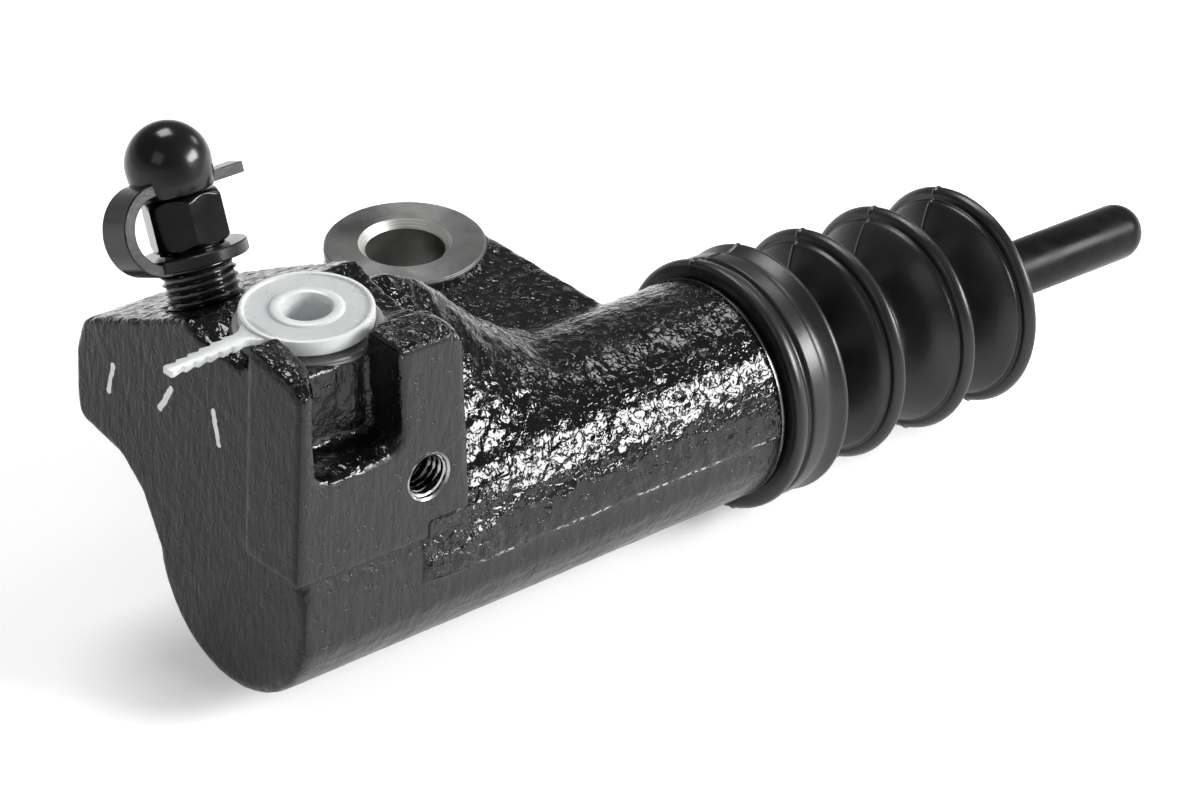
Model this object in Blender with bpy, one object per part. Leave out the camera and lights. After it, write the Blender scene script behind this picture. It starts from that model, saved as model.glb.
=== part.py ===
"""Hydraulic clutch slave cylinder.

One iron casting holds everything: a barrel with its bore along X, a block with the hose port and the
bleed screw, a slotted bracket on the near side and a lug on an arm on the far side. A piston and push
rod slide in the bore behind a bellows boot, and a plastic plug and a rubber cap close the openings.

Origin: centre of the flat closed end face, on the bore axis. +X runs towards the push rod and +Z is up.
The port and the lug are machined square to each other but lean a few degrees from the bore's vertical.
"""

import math

import bmesh
import bpy
from mathutils import Matrix, Vector

MM = 0.001
STEPS = 40                       # facets round a turned piece; pieces that fit each other share it
SMALL_STEPS = 28                 # facets round the rod, the bleed screw and its cap
FEW_STEPS = 20                   # facets round a small hole

# Clearances
GAP = 0.3 * MM                   # between two pieces that rest on each other
RUN = 0.06 * MM                  # radial, a running fit in a hole or socket

# Barrel and bore
BARREL_R = 15.4 * MM
BARREL_LEN = 80.3 * MM
BORE_R = 10.32 * MM              # 13/16 inch bore
BORE_START = 6.0 * MM            # thickness of the closed end
EDGE = 1.2 * MM                  # rounding of the cast edges
PARTING_STEP = 0.5 * MM          # mismatch of the two mould halves along the near side
STEP_X = 19 * MM                 # where its step turns up to the bracket
STEP_LOW = -9 * MM               # its lower edge
SPIGOT_R = 13.2 * MM             # turned nose that the boot grips
SPIGOT_END = BARREL_LEN + 8.2 * MM
GROOVE = (BARREL_LEN + 2.6 * MM, BARREL_LEN + 5.2 * MM)       # start and end of the boot's groove
GROOVE_DEPTH = 1.0 * MM

# Machined seats: the port and lug axes lean back by this much from the bore's vertical
SEAT_TILT = math.radians(-3.9)
PORT = Vector((11.7, 0.5, 32.3)) * MM         # centre of the port's machined face
PORT_FACE_R = 9.6 * MM
PORT_R = 5.45 * MM
PORT_DEPTH = 11.5 * MM
DRILLING_R = 1.5 * MM
LUG = Vector((BARREL_LEN - 21.45 * MM, 38.4 * MM, 12.0 * MM))  # centre of the lug's machined face
LUG_R = 11.2 * MM
LUG_HOLE_R = 5.45 * MM
LUG_THICK = 11.5 * MM
LUG_PROUD = 1.0 * MM                          # the lug's face over the arm's rough top
ARM_THICK = 9.5 * MM
ARM_RIGHT = LUG.x + 11.6 * MM

# Block with the bleed screw's sloping facet
BLOCK_TOP = 31.2 * MM
BLOCK_FAR = 32.8 * MM
BLOCK_LEN = 23.0 * MM
FACET_TILT = math.radians(24.2)
BLEED = Vector((8.7, 17.0, 29.1)) * MM        # where the bleed screw's axis meets the facet
THREAD_R = 5.0 * MM                           # M10 x 1
THREAD_DEPTH = 0.55 * MM
PITCH = 1.0 * MM
BLEED_DEPTH = 10.8 * MM
CONE_LEN = 2.2 * MM                           # of the bleed screw's sealing tip
THREAD_LOW = -2.6 * MM                        # the screw's thread starts this far inside the facet

# Slotted bracket on the near side
FORK_Y = -15.6 * MM                           # its flat front
FORK_BACK = -8.6 * MM
FORK_X = (-1.8 * MM, 26.0 * MM)               # at its foot
FORK_TOP_RIGHT = 23.2 * MM
FORK_Z = (6.6 * MM, 35.4 * MM)
PRONG_TOP = (34.0 * MM, 36.2 * MM)            # the left prong's top rises from front to back
PRONG_THICK = (2.1 * MM, 5.1 * MM)            # and it thickens as much
PRONG_BACK = -4.6 * MM
SLOT_X = (1.1 * MM, 14.4 * MM)                # at the slot's floor
SLOT_TOP_RIGHT = 13.1 * MM
SLOT_FLOOR = 21.2 * MM
TAPPED = Vector((18.5, 0, 15.8)) * MM         # tapped hole in the bracket's face
TAPPED_R = 3.0 * MM
TAPPED_DEPTH = 11.0 * MM

# Piston train, along X at rest
RING_X = (SPIGOT_END - 2.2 * MM, SPIGOT_END - 1.2 * MM)
PISTON_LEN = 26.0 * MM
PISTON_X = (RING_X[0] - GAP - PISTON_LEN, RING_X[0] - GAP)
NOSE_R = 4.0 * MM                             # the piston's nose, which centres the first cup
SEAL_GROOVE = (4.0 * MM, 7.4 * MM)            # second cup's groove, from the piston's front face
SEAL_GROOVE_R = 8.2 * MM
CUP_DEPTH = (3.9 * MM, 2.8 * MM)              # of the first and the second cup
SPRING_SEAT_X = PISTON_X[0] - 9.0 * MM
BALL = Vector((PISTON_X[1] - 12.0 * MM, 0, 0))   # centre of the push rod's ball
BALL_R = 4.3 * MM
ROD_R = 4.07 * MM
ROD_TIP = BALL.x + 90.7 * MM
ROD_DROOP = math.radians(1.0)                 # the rod hangs this far nose-down in its ball seat
RING_GROOVE_R = BORE_R + 0.95 * MM
WIRE_R = 0.65 * MM
COIL_R = 7.3 * MM
COILS = 8

# Boot: crests and valleys of the bellows as (x, radius)
BEAD = (BARREL_LEN + 1.3 * MM, 17.5 * MM)
SHOULDER = (BARREL_LEN + 9.4 * MM, 17.4 * MM)
CRESTS = ((BARREL_LEN + 21.2 * MM, 16.3 * MM), (BARREL_LEN + 34.9 * MM, 16.0 * MM),
          (BARREL_LEN + 47.4 * MM, 15.6 * MM))
VALLEY_R = 7.6 * MM
RUBBER = 1.3 * MM
NECK_X = (BARREL_LEN + 51.3 * MM, BARREL_LEN + 54.1 * MM)
NECK_DEPTH = 0.7 * MM

# Bleed screw and its cap, along the screw's own axis from the facet
RING_U = (5.0 * MM, 6.6 * MM)
HEX_U = (7.0 * MM, 13.5 * MM)
HEX_AF = 9.2 * MM
NIPPLE_TOP = 20.5 * MM
NIPPLE_R = 3.0 * MM
CAP_R = 5.45 * MM
CAP_BASE = 13.8 * MM
CAP_SHOULDER = 17.6 * MM
STRAP_REACH = 10.7 * MM                       # from the screw's axis
TAB_REACH = 9.2 * MM
STRAP_WIDTH = 5.2 * MM
STRAP_THICK = 1.6 * MM

# Port plug
PLUG_R = 8.4 * MM
PLUG_THICK = 1.9 * MM
PLUG_RIM = 0.35 * MM
PLUG_SHANK_R = PORT_R - RUN
PLUG_HOLE_R = 3.25 * MM
PLUG_DEPTH = 9.0 * MM
TAIL_TIP = 21.6 * MM                          # from the plug's axis
TAIL_THICK = 1.1 * MM


def clear_scene():
    for obj in list(bpy.data.objects):
        bpy.data.objects.remove(obj, do_unlink=True)


def material(name, colour, roughness, metallic=0.0):
    mat = bpy.data.materials.new(name)
    mat.use_nodes = True
    shader = mat.node_tree.nodes["Principled BSDF"]
    shader.inputs["Base Color"].default_value = (*colour, 1.0)
    shader.inputs["Roughness"].default_value = roughness
    shader.inputs["Metallic"].default_value = metallic
    return mat


def make(name, bm, mat=None, parts=None):
    """Turn a bmesh into an object. Pieces go in the parts collection, working shapes stay outside it."""
    bmesh.ops.recalc_face_normals(bm, faces=bm.faces)
    mesh = bpy.data.meshes.new(name)
    bm.to_mesh(mesh)
    bm.free()
    obj = bpy.data.objects.new(name, mesh)
    (parts or bpy.context.scene.collection).objects.link(obj)
    if mat:
        mesh.materials.append(mat)
    return obj


def revolve(profile, ring=False, steps=STEPS):
    """Turn (x, radius) points about X. An open profile starts and ends on the axis, a ring's is closed."""
    bm = bmesh.new()
    verts = [bm.verts.new((x, 0, r)) for x, r in profile]
    edges = [bm.edges.new(pair) for pair in zip(verts, verts[1:] + verts[:1] if ring else verts[1:])]
    bmesh.ops.spin(bm, geom=verts + edges, cent=(0, 0, 0), axis=(1, 0, 0), angle=math.tau,
                   steps=steps, use_merge=True)
    bmesh.ops.remove_doubles(bm, verts=bm.verts, dist=0.001 * MM)
    return bm


def arc(centre, radius, start, end, steps):
    """Points (x, radius) along an arc, angles in degrees."""
    cx, cy = centre
    angles = [math.radians(start + (end - start) * i / steps) for i in range(steps + 1)]
    return [(cx + radius * math.cos(a), cy + radius * math.sin(a)) for a in angles]


def rounded(corners, steps=4):
    """Outline through (u, v, radius) corners, each with its own rounding."""
    outline = []
    for i, (u, v, radius) in enumerate(corners):
        here = Vector((u, v))
        before = (Vector(corners[i - 1][:2]) - here).normalized()
        after = (Vector(corners[(i + 1) % len(corners)][:2]) - here).normalized()
        if radius == 0:
            outline.append((u, v))
            continue
        half = before.angle(after) / 2
        reach = radius / math.tan(half)
        centre = here + (before + after).normalized() * radius / math.sin(half)
        a, b = here + before * reach - centre, here + after * reach - centre
        sweep = a.angle_signed(b)
        for k in range(steps + 1):
            point = centre + Matrix.Rotation(-sweep * k / steps, 2) @ a
            outline.append((point.x, point.y))
    return outline


def prism(outline, axis, low, high):
    """Extrude a flat outline along a world axis: (y, z) along X, (x, z) along Y or (x, y) along Z."""
    bm = bmesh.new()
    place = {"X": lambda u, v: (low, u, v),
             "Y": lambda u, v: (u, low, v),
             "Z": lambda u, v: (u, v, low)}[axis]
    face = bm.faces.new([bm.verts.new(place(u, v)) for u, v in outline])
    grown = bmesh.ops.extrude_face_region(bm, geom=[face])["geom"]
    offset = Vector([(high - low) * (axis == name) for name in "XYZ"])
    bmesh.ops.translate(bm, vec=offset, verts=[v for v in grown if isinstance(v, bmesh.types.BMVert)])
    bmesh.ops.recalc_face_normals(bm, faces=bm.faces)
    return bm


def box(low, high):
    """Axis-aligned box between two corners."""
    outline = [(low[0], low[1]), (high[0], low[1]), (high[0], high[1]), (low[0], high[1])]
    return prism(outline, "Z", low[2], high[2])


def soften(bm, radius, segments=2):
    """Round the sharp edges of a working shape."""
    bmesh.ops.recalc_face_normals(bm, faces=bm.faces)
    sharp = [e for e in bm.edges if len(e.link_faces) == 2 and e.calc_face_angle(0) > math.radians(35)]
    bmesh.ops.bevel(bm, geom=sharp, offset=radius, segments=segments, profile=0.5, affect="EDGES",
                    clamp_overlap=True)
    return bm


def hull(points):
    bm = bmesh.new()
    for point in points:
        bm.verts.new(point)
    made = bmesh.ops.convex_hull(bm, input=bm.verts)
    bmesh.ops.delete(bm, geom=[v for v in made["geom_interior"] if isinstance(v, bmesh.types.BMVert)],
                     context="VERTS")
    return bm


def placed(bm, matrix):
    bmesh.ops.transform(bm, matrix=matrix, verts=bm.verts)
    return bm


def combine(target, bm, operation="UNION"):
    """Boolean one working shape into a piece, and use it up."""
    tool = make("tool", bm)
    modifier = target.modifiers.new(operation.lower(), "BOOLEAN")
    modifier.solver = "EXACT"
    modifier.operation = operation
    modifier.object = tool
    graph = bpy.context.evaluated_depsgraph_get()
    mesh = bpy.data.meshes.new_from_object(target.evaluated_get(graph))
    target.modifiers.clear()
    old, target.data = target.data, mesh
    bpy.data.meshes.remove(old)
    bpy.data.objects.remove(tool, do_unlink=True)


def upright():
    """Turns a piece made along X to stand along +Z."""
    return Matrix.Rotation(-math.pi / 2, 4, "Y")


def seat_frame(centre):
    """Where a machined seat's own axes stand: origin at the face's centre, Z out of the face."""
    return Matrix.Translation(centre) @ Matrix.Rotation(SEAT_TILT, 4, "Y")


def bleed_frame():
    """The bleed screw's axes: origin on the facet, Z out of the casting, leaning towards +Y."""
    return Matrix.Translation(BLEED) @ Matrix.Rotation(-FACET_TILT, 4, "X")


def thread(start, end, major, minor, pitch=PITCH):
    """Ridges along X between two places: annular, so that the piece turns without a screwing motion."""
    points, x = [], start
    while x + pitch <= end + 1e-9:
        points += [(x, minor), (x + pitch / 2, major)]
        x += pitch
    return points + [(x, minor)]


def barrel():
    groove_r = SPIGOT_R - GROOVE_DEPTH
    return revolve([
        (0, 0), (0, BARREL_R - EDGE), (EDGE * 0.3, BARREL_R - EDGE * 0.3), (EDGE, BARREL_R),
        (BARREL_LEN - 0.4 * MM, BARREL_R), (BARREL_LEN, BARREL_R - 0.4 * MM), (BARREL_LEN, SPIGOT_R),
        (GROOVE[0], SPIGOT_R), (GROOVE[0], groove_r), (GROOVE[1], groove_r), (GROOVE[1], SPIGOT_R),
        (SPIGOT_END - 0.5 * MM, SPIGOT_R), (SPIGOT_END, SPIGOT_R - 0.5 * MM), (SPIGOT_END, 0)])


def block():
    """End-view outline run along X, trimmed to the plan outline."""
    slope = math.tan(FACET_TILT)
    facet_start = BLEED.y - (BLOCK_TOP + 1.1 * MM - BLEED.z) / slope
    facet_end = BLOCK_FAR - 1.5 * MM
    end_view = rounded([
        (-9.0 * MM, 0, 0), (-9.0 * MM, BLOCK_TOP + 0.6 * MM, 1 * MM),
        (-3.2 * MM, BLOCK_TOP + 0.6 * MM, 1 * MM), (-1.6 * MM, BLOCK_TOP - 0.3 * MM, 1 * MM),
        (5.6 * MM, BLOCK_TOP - 0.2 * MM, 1 * MM), (facet_start, BLOCK_TOP + 1.1 * MM, 1 * MM),
        (facet_end, BLEED.z - slope * (facet_end - BLEED.y), 1.5 * MM), (BLOCK_FAR, 18 * MM, 3 * MM),
        (BLOCK_FAR - 0.4 * MM, 8.2 * MM, 2.5 * MM), (23.2 * MM, 6.8 * MM, 2.5 * MM),
        (18.6 * MM, 3.4 * MM, 2 * MM), (15.1 * MM, -2.4 * MM, 3 * MM), (9.0 * MM, -6.0 * MM, 0)])
    plan = rounded([
        (-1 * MM, -12 * MM, 0), (BLOCK_LEN + 1 * MM, -12 * MM, 0), (BLOCK_LEN + 4 * MM, 9 * MM, 2 * MM),
        (BLOCK_LEN + 0.5 * MM, 22 * MM, 3 * MM), (BLOCK_LEN - 2.5 * MM, 27.5 * MM, 3 * MM),
        (BLOCK_LEN - 8 * MM, BLOCK_FAR + 1 * MM, 3 * MM), (-1 * MM, BLOCK_FAR + 1 * MM, 0)])
    obj = make("block", soften(prism(end_view, "X", 0, BLOCK_LEN + 5 * MM), EDGE * 0.7))
    combine(obj, prism(plan, "Z", -20 * MM, 40 * MM), "INTERSECT")
    bm = bmesh.new()
    bm.from_mesh(obj.data)
    bpy.data.objects.remove(obj, do_unlink=True)
    return bm


def ramp():
    """Loft of the web that falls from the port's block to the barrel, and leaves its side smoothly."""
    # x, height of the crest, and how far up the barrel's near side (in degrees) the web leaves it
    sections = [(20, 31.0, 38), (30, 30.2, 40), (35, 27.9, 42), (39, 24.6, 45), (44, 20.0, 52),
                (50, 15.9, 62), (57, 13.0, 72)]
    far, foot, sink = 9.6 * MM, -1.0 * MM, 0.15 * MM
    bm = bmesh.new()
    loops = []
    for x, crest, leave in sections:
        crest, leave = crest * MM, math.radians(leave)
        far_round = min(2.2 * MM, crest / 4)
        start = Vector((-math.cos(leave), math.sin(leave))) * (BARREL_R - sink)
        top = Vector((far - far_round, crest))
        rise = max(0.9 * (crest - start.y), 0.3 * MM)
        bend = start + Vector((math.tan(leave), 1)) * rise
        side = [start.lerp(bend, t).lerp(bend.lerp(top, t), t) for t in (i / 8 for i in range(9))]
        outline = [(start.x, foot)] + [(p.x, p.y) for p in side]
        outline += arc((far - far_round, crest - far_round), far_round, 60, 0, 2) + [(far, foot)]
        loops.append([bm.verts.new((x * MM, y, z)) for y, z in outline])
    for a, b in zip(loops, loops[1:]):
        for i in range(len(a)):
            j = (i + 1) % len(a)
            bm.faces.new((a[i], a[j], b[j], b[i]))
    bm.faces.new(loops[0])
    bm.faces.new(loops[-1])
    return bm


def bracket():
    """Slotted bracket: a front plate with the slot's floor and right prong, and the tapering left prong."""
    (left, right), (low, high) = FORK_X, FORK_Z
    front = rounded([
        (left + 0.6 * MM, low, 0), (right, low - 0.3 * MM, 1.5 * MM), (FORK_TOP_RIGHT, high, 2.2 * MM),
        (SLOT_TOP_RIGHT, high + 0.2 * MM, 1 * MM), (SLOT_X[1], SLOT_FLOOR + 0.2 * MM, 2.6 * MM),
        (SLOT_X[0], SLOT_FLOOR - 0.3 * MM, 2.0 * MM), (SLOT_X[0] - 0.6 * MM, SLOT_FLOOR + 6 * MM, 0),
        (left + 0.6 * MM, SLOT_FLOOR + 6 * MM, 0)])
    body = make("bracket", soften(prism(front, "Y", FORK_Y, FORK_BACK), 0.7 * MM))
    prong = hull([(x, y, z) for y, top, thick in zip((FORK_Y, PRONG_BACK), PRONG_TOP, PRONG_THICK)
                  for x in (left, left + thick) for z in (low, top)] +
                 [(left + 4.6 * MM, -11 * MM, z) for z in (low, PRONG_TOP[0] + 0.9 * MM)])
    combine(body, soften(prong, 0.8 * MM))
    bm = bmesh.new()
    bm.from_mesh(body.data)
    bpy.data.objects.remove(body, do_unlink=True)
    return bm


def arm():
    """Plate from the barrel to the lug, drawn square to the lug and leant with it."""
    right = ARM_RIGHT - LUG.x
    round_end = [(u, v, 0) for u, v in arc((0, 0), LUG_R - 0.4 * MM, 6, 174, 14)]
    outline = rounded([(right, 4 * MM - LUG.y, 0), (right, 0, 0)] + round_end + [
        (-14 * MM, -2 * MM, 3 * MM), (-28 * MM, -15 * MM, 6 * MM), (-32 * MM, 4 * MM - LUG.y, 0)])
    bm = soften(prism(outline, "Z", -LUG_PROUD - ARM_THICK, -LUG_PROUD), EDGE)
    return placed(bm, seat_frame(LUG))


def lug():
    bm = revolve([(-LUG_THICK, 0), (-LUG_THICK, LUG_R - 0.5 * MM), (-LUG_THICK + 0.5 * MM, LUG_R),
                  (-0.3 * MM, LUG_R), (0, LUG_R - 0.3 * MM), (0, 0)])
    return placed(bm, seat_frame(LUG) @ upright())


def gusset():
    """Web whose top edge falls from the block's far corner to the lug, through points in millimetres."""
    top = [(14, 31.0, 22.8), (21.5, 27.3, 24.0), (31.0, 26.0, 21.2), (37.5, 32.0, 17.2), (46.5, 38.5, 11.8)]
    inner = [(22, 8, 28.5), (33, 8.5, 22), (44, 14, 13.5), (52, 28, 11.0)]
    foot = [(12, 30.0, 10), (20, 27.5, 6), (37, 31.5, 3.5), (47, 38.5, 3.5),
            (22, 8, 2), (50, 12, 2), (54, 28, 3)]
    return soften(hull([Vector(p) * MM for p in top + inner + foot]), 0.8 * MM, 1)


def boss():
    depth = PORT.z - 6 * MM
    bm = revolve([(-depth, 0), (-depth, PORT_FACE_R + 1.2 * MM), (-12 * MM, PORT_FACE_R + 0.6 * MM),
                  (-0.4 * MM, PORT_FACE_R), (0, PORT_FACE_R - 0.2 * MM), (0, 0)])
    return placed(bm, seat_frame(PORT) @ upright())


def mouth(face, radius, chamfer, side=1):
    """Profile of a chamfered hole where it leaves a face at x: the cone runs on past the face."""
    out = 3 * MM
    rim = [(face - side * chamfer, radius), (face + side * out, radius + chamfer + out),
           (face + side * out, 0)]
    return rim if side > 0 else rim[::-1]


def body_cutters():
    """Every machined hole of the casting, each run past the surface it starts from."""
    ring_groove = [(RING_X[0] - GAP / 2, BORE_R), (RING_X[0] - GAP / 2, RING_GROOVE_R),
                   (RING_X[1] + GAP / 2, RING_GROOVE_R), (RING_X[1] + GAP / 2, BORE_R)]
    yield revolve([(BORE_START, 0), (BORE_START, BORE_R)] + ring_groove + mouth(SPIGOT_END, BORE_R, 0.6 * MM))
    cone = PORT_R - DRILLING_R
    passage = 7 * MM - PORT.z
    yield placed(revolve([(passage, 0), (passage, DRILLING_R), (-PORT_DEPTH - cone, DRILLING_R),
                          (-PORT_DEPTH, PORT_R)] + mouth(0, PORT_R, 0.5 * MM)), seat_frame(PORT) @ upright())
    hole, seat = THREAD_R + RUN, 1.25 * MM
    yield placed(revolve([(-26 * MM, 0), (-26 * MM, seat), (-BLEED_DEPTH - (hole - seat) * 0.7, seat),
                          (-BLEED_DEPTH, hole)] + mouth(0, hole, 0.3 * MM)), bleed_frame() @ upright())
    yield placed(revolve(mouth(-LUG_THICK, LUG_HOLE_R, 0.6 * MM, -1) + mouth(0, LUG_HOLE_R, 0.95 * MM)),
                 seat_frame(LUG) @ upright())
    tapped = [(-TAPPED_DEPTH - 1.5 * MM, 0), (-TAPPED_DEPTH, TAPPED_R - 0.5 * MM)]
    tapped += thread(-5.7 * MM, -0.6 * MM, TAPPED_R, TAPPED_R - 0.5 * MM)[:-1]
    yield placed(revolve(tapped + mouth(0, TAPPED_R - 0.2 * MM, 0.25 * MM), steps=FEW_STEPS),
                 Matrix.Translation((TAPPED.x, FORK_Y, TAPPED.z)) @ Matrix.Rotation(-math.pi / 2, 4, "Z"))


def cylinder_body(parts, mat):
    body = make("cylinder_body", barrel(), mat, parts)
    # The lower mould half is a little flatter on the near side. Its step runs along the barrel, and turns up
    # to the bracket's foot in a round corner.
    start, end, top = -1 * MM, BARREL_LEN + 1 * MM, FORK_Z[0] + 1 * MM
    flat = rounded([(start, STEP_LOW, 0), (end, STEP_LOW, 0), (end, 0, 0), (STEP_X, 0, 4 * MM),
                    (STEP_X, top, 0), (start, top, 0)])
    combine(body, prism(flat, "Y", -20 * MM, -BARREL_R + PARTING_STEP), "DIFFERENCE")
    for shape in (block(), boss(), ramp(), arm(), lug(), gusset(), bracket()):
        combine(body, shape)
    for cutter in body_cutters():
        combine(body, cutter, "DIFFERENCE")
    return body


def bleed_screw(parts, mat):
    neck = THREAD_R - THREAD_DEPTH - 0.6 * MM
    tip = -BLEED_DEPTH + 0.3 * MM
    shank = [(tip - CONE_LEN, 0), (tip - CONE_LEN, 1.7 * MM), (tip, THREAD_R - THREAD_DEPTH)]
    shank += thread(THREAD_LOW, RING_U[0] - GAP, THREAD_R, THREAD_R - THREAD_DEPTH)
    shank += [(RING_U[0] - 0.1 * MM, neck), (HEX_U[0] + 0.5 * MM, neck), (HEX_U[0] + 0.5 * MM, 0)]
    screw = make("bleed_screw", revolve(shank, steps=SMALL_STEPS), mat, parts)
    # Hexagon with both ends chamfered by a turned outline.
    corner = HEX_AF / math.sqrt(3)
    turned = math.radians(7)
    angles = [math.radians(60 * i) + turned for i in range(6)]
    outline = [(corner * math.cos(a), corner * math.sin(a)) for a in angles]
    hexagon = make("hexagon", prism(outline, "Z", HEX_U[0], HEX_U[1]))
    chamfer = HEX_AF / 2 + 0.1 * MM
    combine(hexagon, placed(revolve([
        (HEX_U[0], 0), (HEX_U[0], chamfer), (HEX_U[0] + 0.6 * MM, corner + 0.1 * MM),
        (HEX_U[1] - 0.6 * MM, corner + 0.1 * MM), (HEX_U[1], chamfer), (HEX_U[1], 0)]), upright()),
        "INTERSECT")
    bm = bmesh.new()
    bm.from_mesh(hexagon.data)
    bpy.data.objects.remove(hexagon, do_unlink=True)
    combine(screw, placed(bm, upright().inverted()))
    waist = NIPPLE_R - 0.4 * MM
    combine(screw, revolve([
        (HEX_U[1] - 1 * MM, 0), (HEX_U[1] - 1 * MM, waist), (CAP_BASE + 1.6 * MM, waist),
        (CAP_BASE + 2.6 * MM, NIPPLE_R), (NIPPLE_TOP - 1.5 * MM, NIPPLE_R), (NIPPLE_TOP, NIPPLE_R - 0.7 * MM),
        (NIPPLE_TOP, 0)]))
    # Drilled down the middle, with a cross hole just above the cone.
    combine(screw, revolve([(tip + 1.2 * MM, 0), (tip + 1.2 * MM, 1.1 * MM), (NIPPLE_TOP + 1 * MM, 1.1 * MM),
                            (NIPPLE_TOP + 1 * MM, 0)], steps=FEW_STEPS), "DIFFERENCE")
    half, hole_r = 8 * MM, 0.9 * MM
    cross_hole = revolve([(-half, 0), (-half, hole_r), (half, hole_r), (half, 0)], steps=FEW_STEPS)
    across = Matrix.Translation((tip + 2.4 * MM, 0, 0)) @ Matrix.Rotation(math.pi / 2, 4, "Z")
    combine(screw, placed(cross_hole, across), "DIFFERENCE")
    screw.data.transform(upright())
    screw.matrix_world = bleed_frame()
    return screw


def bleed_cap(parts, mat):
    """Dome, strap, ring and pull tab, moulded as one."""
    inner, ceiling = NIPPLE_R + GAP, NIPPLE_TOP + 0.5 * MM
    cap = make("bleed_cap", placed(revolve([
        (ceiling, 0), (ceiling, inner - 0.9 * MM), (ceiling - 1.3 * MM, inner), (CAP_BASE, inner),
        (CAP_BASE, CAP_R - 0.7 * MM), (CAP_BASE + 1 * MM, CAP_R - 0.25 * MM)] +
        arc((CAP_SHOULDER, 0), CAP_R, 90, 0, 8), steps=SMALL_STEPS), upright()), mat, parts)
    # The strap is a flat D-shaped loop from the dome's lower edge out and back to the ring.
    low, high, root = RING_U[0] - 0.5 * MM, CAP_BASE + 2.3 * MM, -5.3 * MM
    middle, tall, reach = (low + high) / 2, (high - low) / 2, STRAP_REACH + root
    outer, inside = ([(root - across * math.cos(a), middle + up * math.sin(a))
                      for a in (math.radians(90 - 9 * i) for i in range(21))]
                     for across, up in ((reach, tall), (reach - STRAP_THICK, tall - STRAP_THICK + 0.1 * MM)))
    end = root + 1.0 * MM
    outline = [(end, high)] + outer + inside[::-1] + [(end, inside[0][1])]
    combine(cap, prism(outline, "Y", -STRAP_WIDTH / 2, STRAP_WIDTH / 2))
    ring_in, ring_out = THREAD_R - THREAD_DEPTH - 0.6 * MM + GAP, 6.9 * MM
    combine(cap, placed(revolve([
        (RING_U[0], ring_in), (RING_U[0], ring_out - 0.2 * MM), (RING_U[0] + 0.2 * MM, ring_out),
        (RING_U[1] - 0.2 * MM, ring_out), (RING_U[1], ring_out - 0.2 * MM), (RING_U[1], ring_in)],
        ring=True, steps=SMALL_STEPS), upright()))
    tab = box((CAP_R - 1.2 * MM, -1.6 * MM, CAP_BASE + 0.1 * MM), (TAB_REACH, 1.6 * MM, CAP_BASE + 1.5 * MM))
    combine(cap, soften(tab, 0.15 * MM, 1))
    cap.matrix_world = bleed_frame()
    return cap


def port_plug(parts, mat):
    base, top = GAP, GAP + PLUG_THICK
    rim = top + PLUG_RIM
    floor = -PLUG_DEPTH + 1.2 * MM
    plug = make("port_plug", revolve([
        (-PLUG_DEPTH, 0), (-PLUG_DEPTH, PLUG_SHANK_R - 0.8 * MM),
        (-PLUG_DEPTH + 1 * MM, PLUG_SHANK_R - 0.1 * MM),
        (base, PLUG_SHANK_R), (base, PLUG_R - 0.3 * MM), (base + 0.3 * MM, PLUG_R), (rim - 0.2 * MM, PLUG_R),
        (rim, PLUG_R - 0.2 * MM), (rim, PLUG_R - 0.7 * MM), (top, PLUG_R - 0.9 * MM),
        (top, PLUG_HOLE_R + 1.4 * MM), (rim, PLUG_HOLE_R + 1.2 * MM), (rim, PLUG_HOLE_R + 0.2 * MM),
        (rim - 0.2 * MM, PLUG_HOLE_R), (floor, PLUG_HOLE_R - 0.2 * MM), (floor, 0)]), mat, parts)
    plug.data.transform(upright())
    # Tapered tail with barbs along both edges, joined to the disc by a Y-shaped root.
    start, barbs = -(PLUG_R + 2.0 * MM), 6
    step = (TAIL_TIP + start) / barbs
    side = []
    for i in range(barbs):
        x, wide = start - step * i, (1.55 - 0.09 * i) * MM
        side += [(x, wide - 0.35 * MM), (x - step * 0.8, wide)]
    side.append((-TAIL_TIP, 0.75 * MM))
    root = [(-(PLUG_R - 1.5 * MM), 3.4 * MM), (start + 0.9 * MM, 1.3 * MM)]
    outline = root + side
    outline += [(x, -y) for x, y in reversed(outline)]
    combine(plug, prism(outline, "Z", top - TAIL_THICK, top - 0.05 * MM))
    plug.matrix_world = seat_frame(PORT)
    return plug


def piston(parts, mat):
    start, end = PISTON_X
    r = BORE_R - RUN
    seat_r = BALL_R + RUN
    cup = [(end, r - 0.5 * MM), (end, 6.6 * MM), (end - 7.5 * MM, 5.4 * MM)]
    cup += arc((BALL.x, 0), seat_r, 68, 180, 7)
    return make("piston", revolve([
        (start - 4.2 * MM, 0), (start - 4.2 * MM, 3.6 * MM), (start - 3.8 * MM, NOSE_R), (start, NOSE_R),
        (start, r - 0.4 * MM), (start + 0.4 * MM, r), (start + SEAL_GROOVE[0], r),
        (start + SEAL_GROOVE[0], SEAL_GROOVE_R), (start + SEAL_GROOVE[1], SEAL_GROOVE_R),
        (start + SEAL_GROOVE[1], r), (start + 9.5 * MM, r), (start + 10 * MM, r - 0.9 * MM),
        (end - 5 * MM, r - 0.9 * MM), (end - 4.5 * MM, r), (end - 0.5 * MM, r)] + cup), mat, parts)


def cup_seal(name, base, depth, hub_r, parts, mat):
    """Rubber cup facing the pressure: heel at base, lips towards -X."""
    r = BORE_R - RUN
    lip = base - depth
    return make(name, revolve([
        (base, hub_r), (base, r - 0.6 * MM), (base - 0.6 * MM, r - 0.35 * MM), (lip + 0.6 * MM, r),
        (lip, r - 0.3 * MM), (lip + 0.3 * MM, r - 1.1 * MM), (base - 1.4 * MM, r - 1.9 * MM),
        (base - 1.4 * MM, hub_r)], ring=True), mat, parts)


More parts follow.
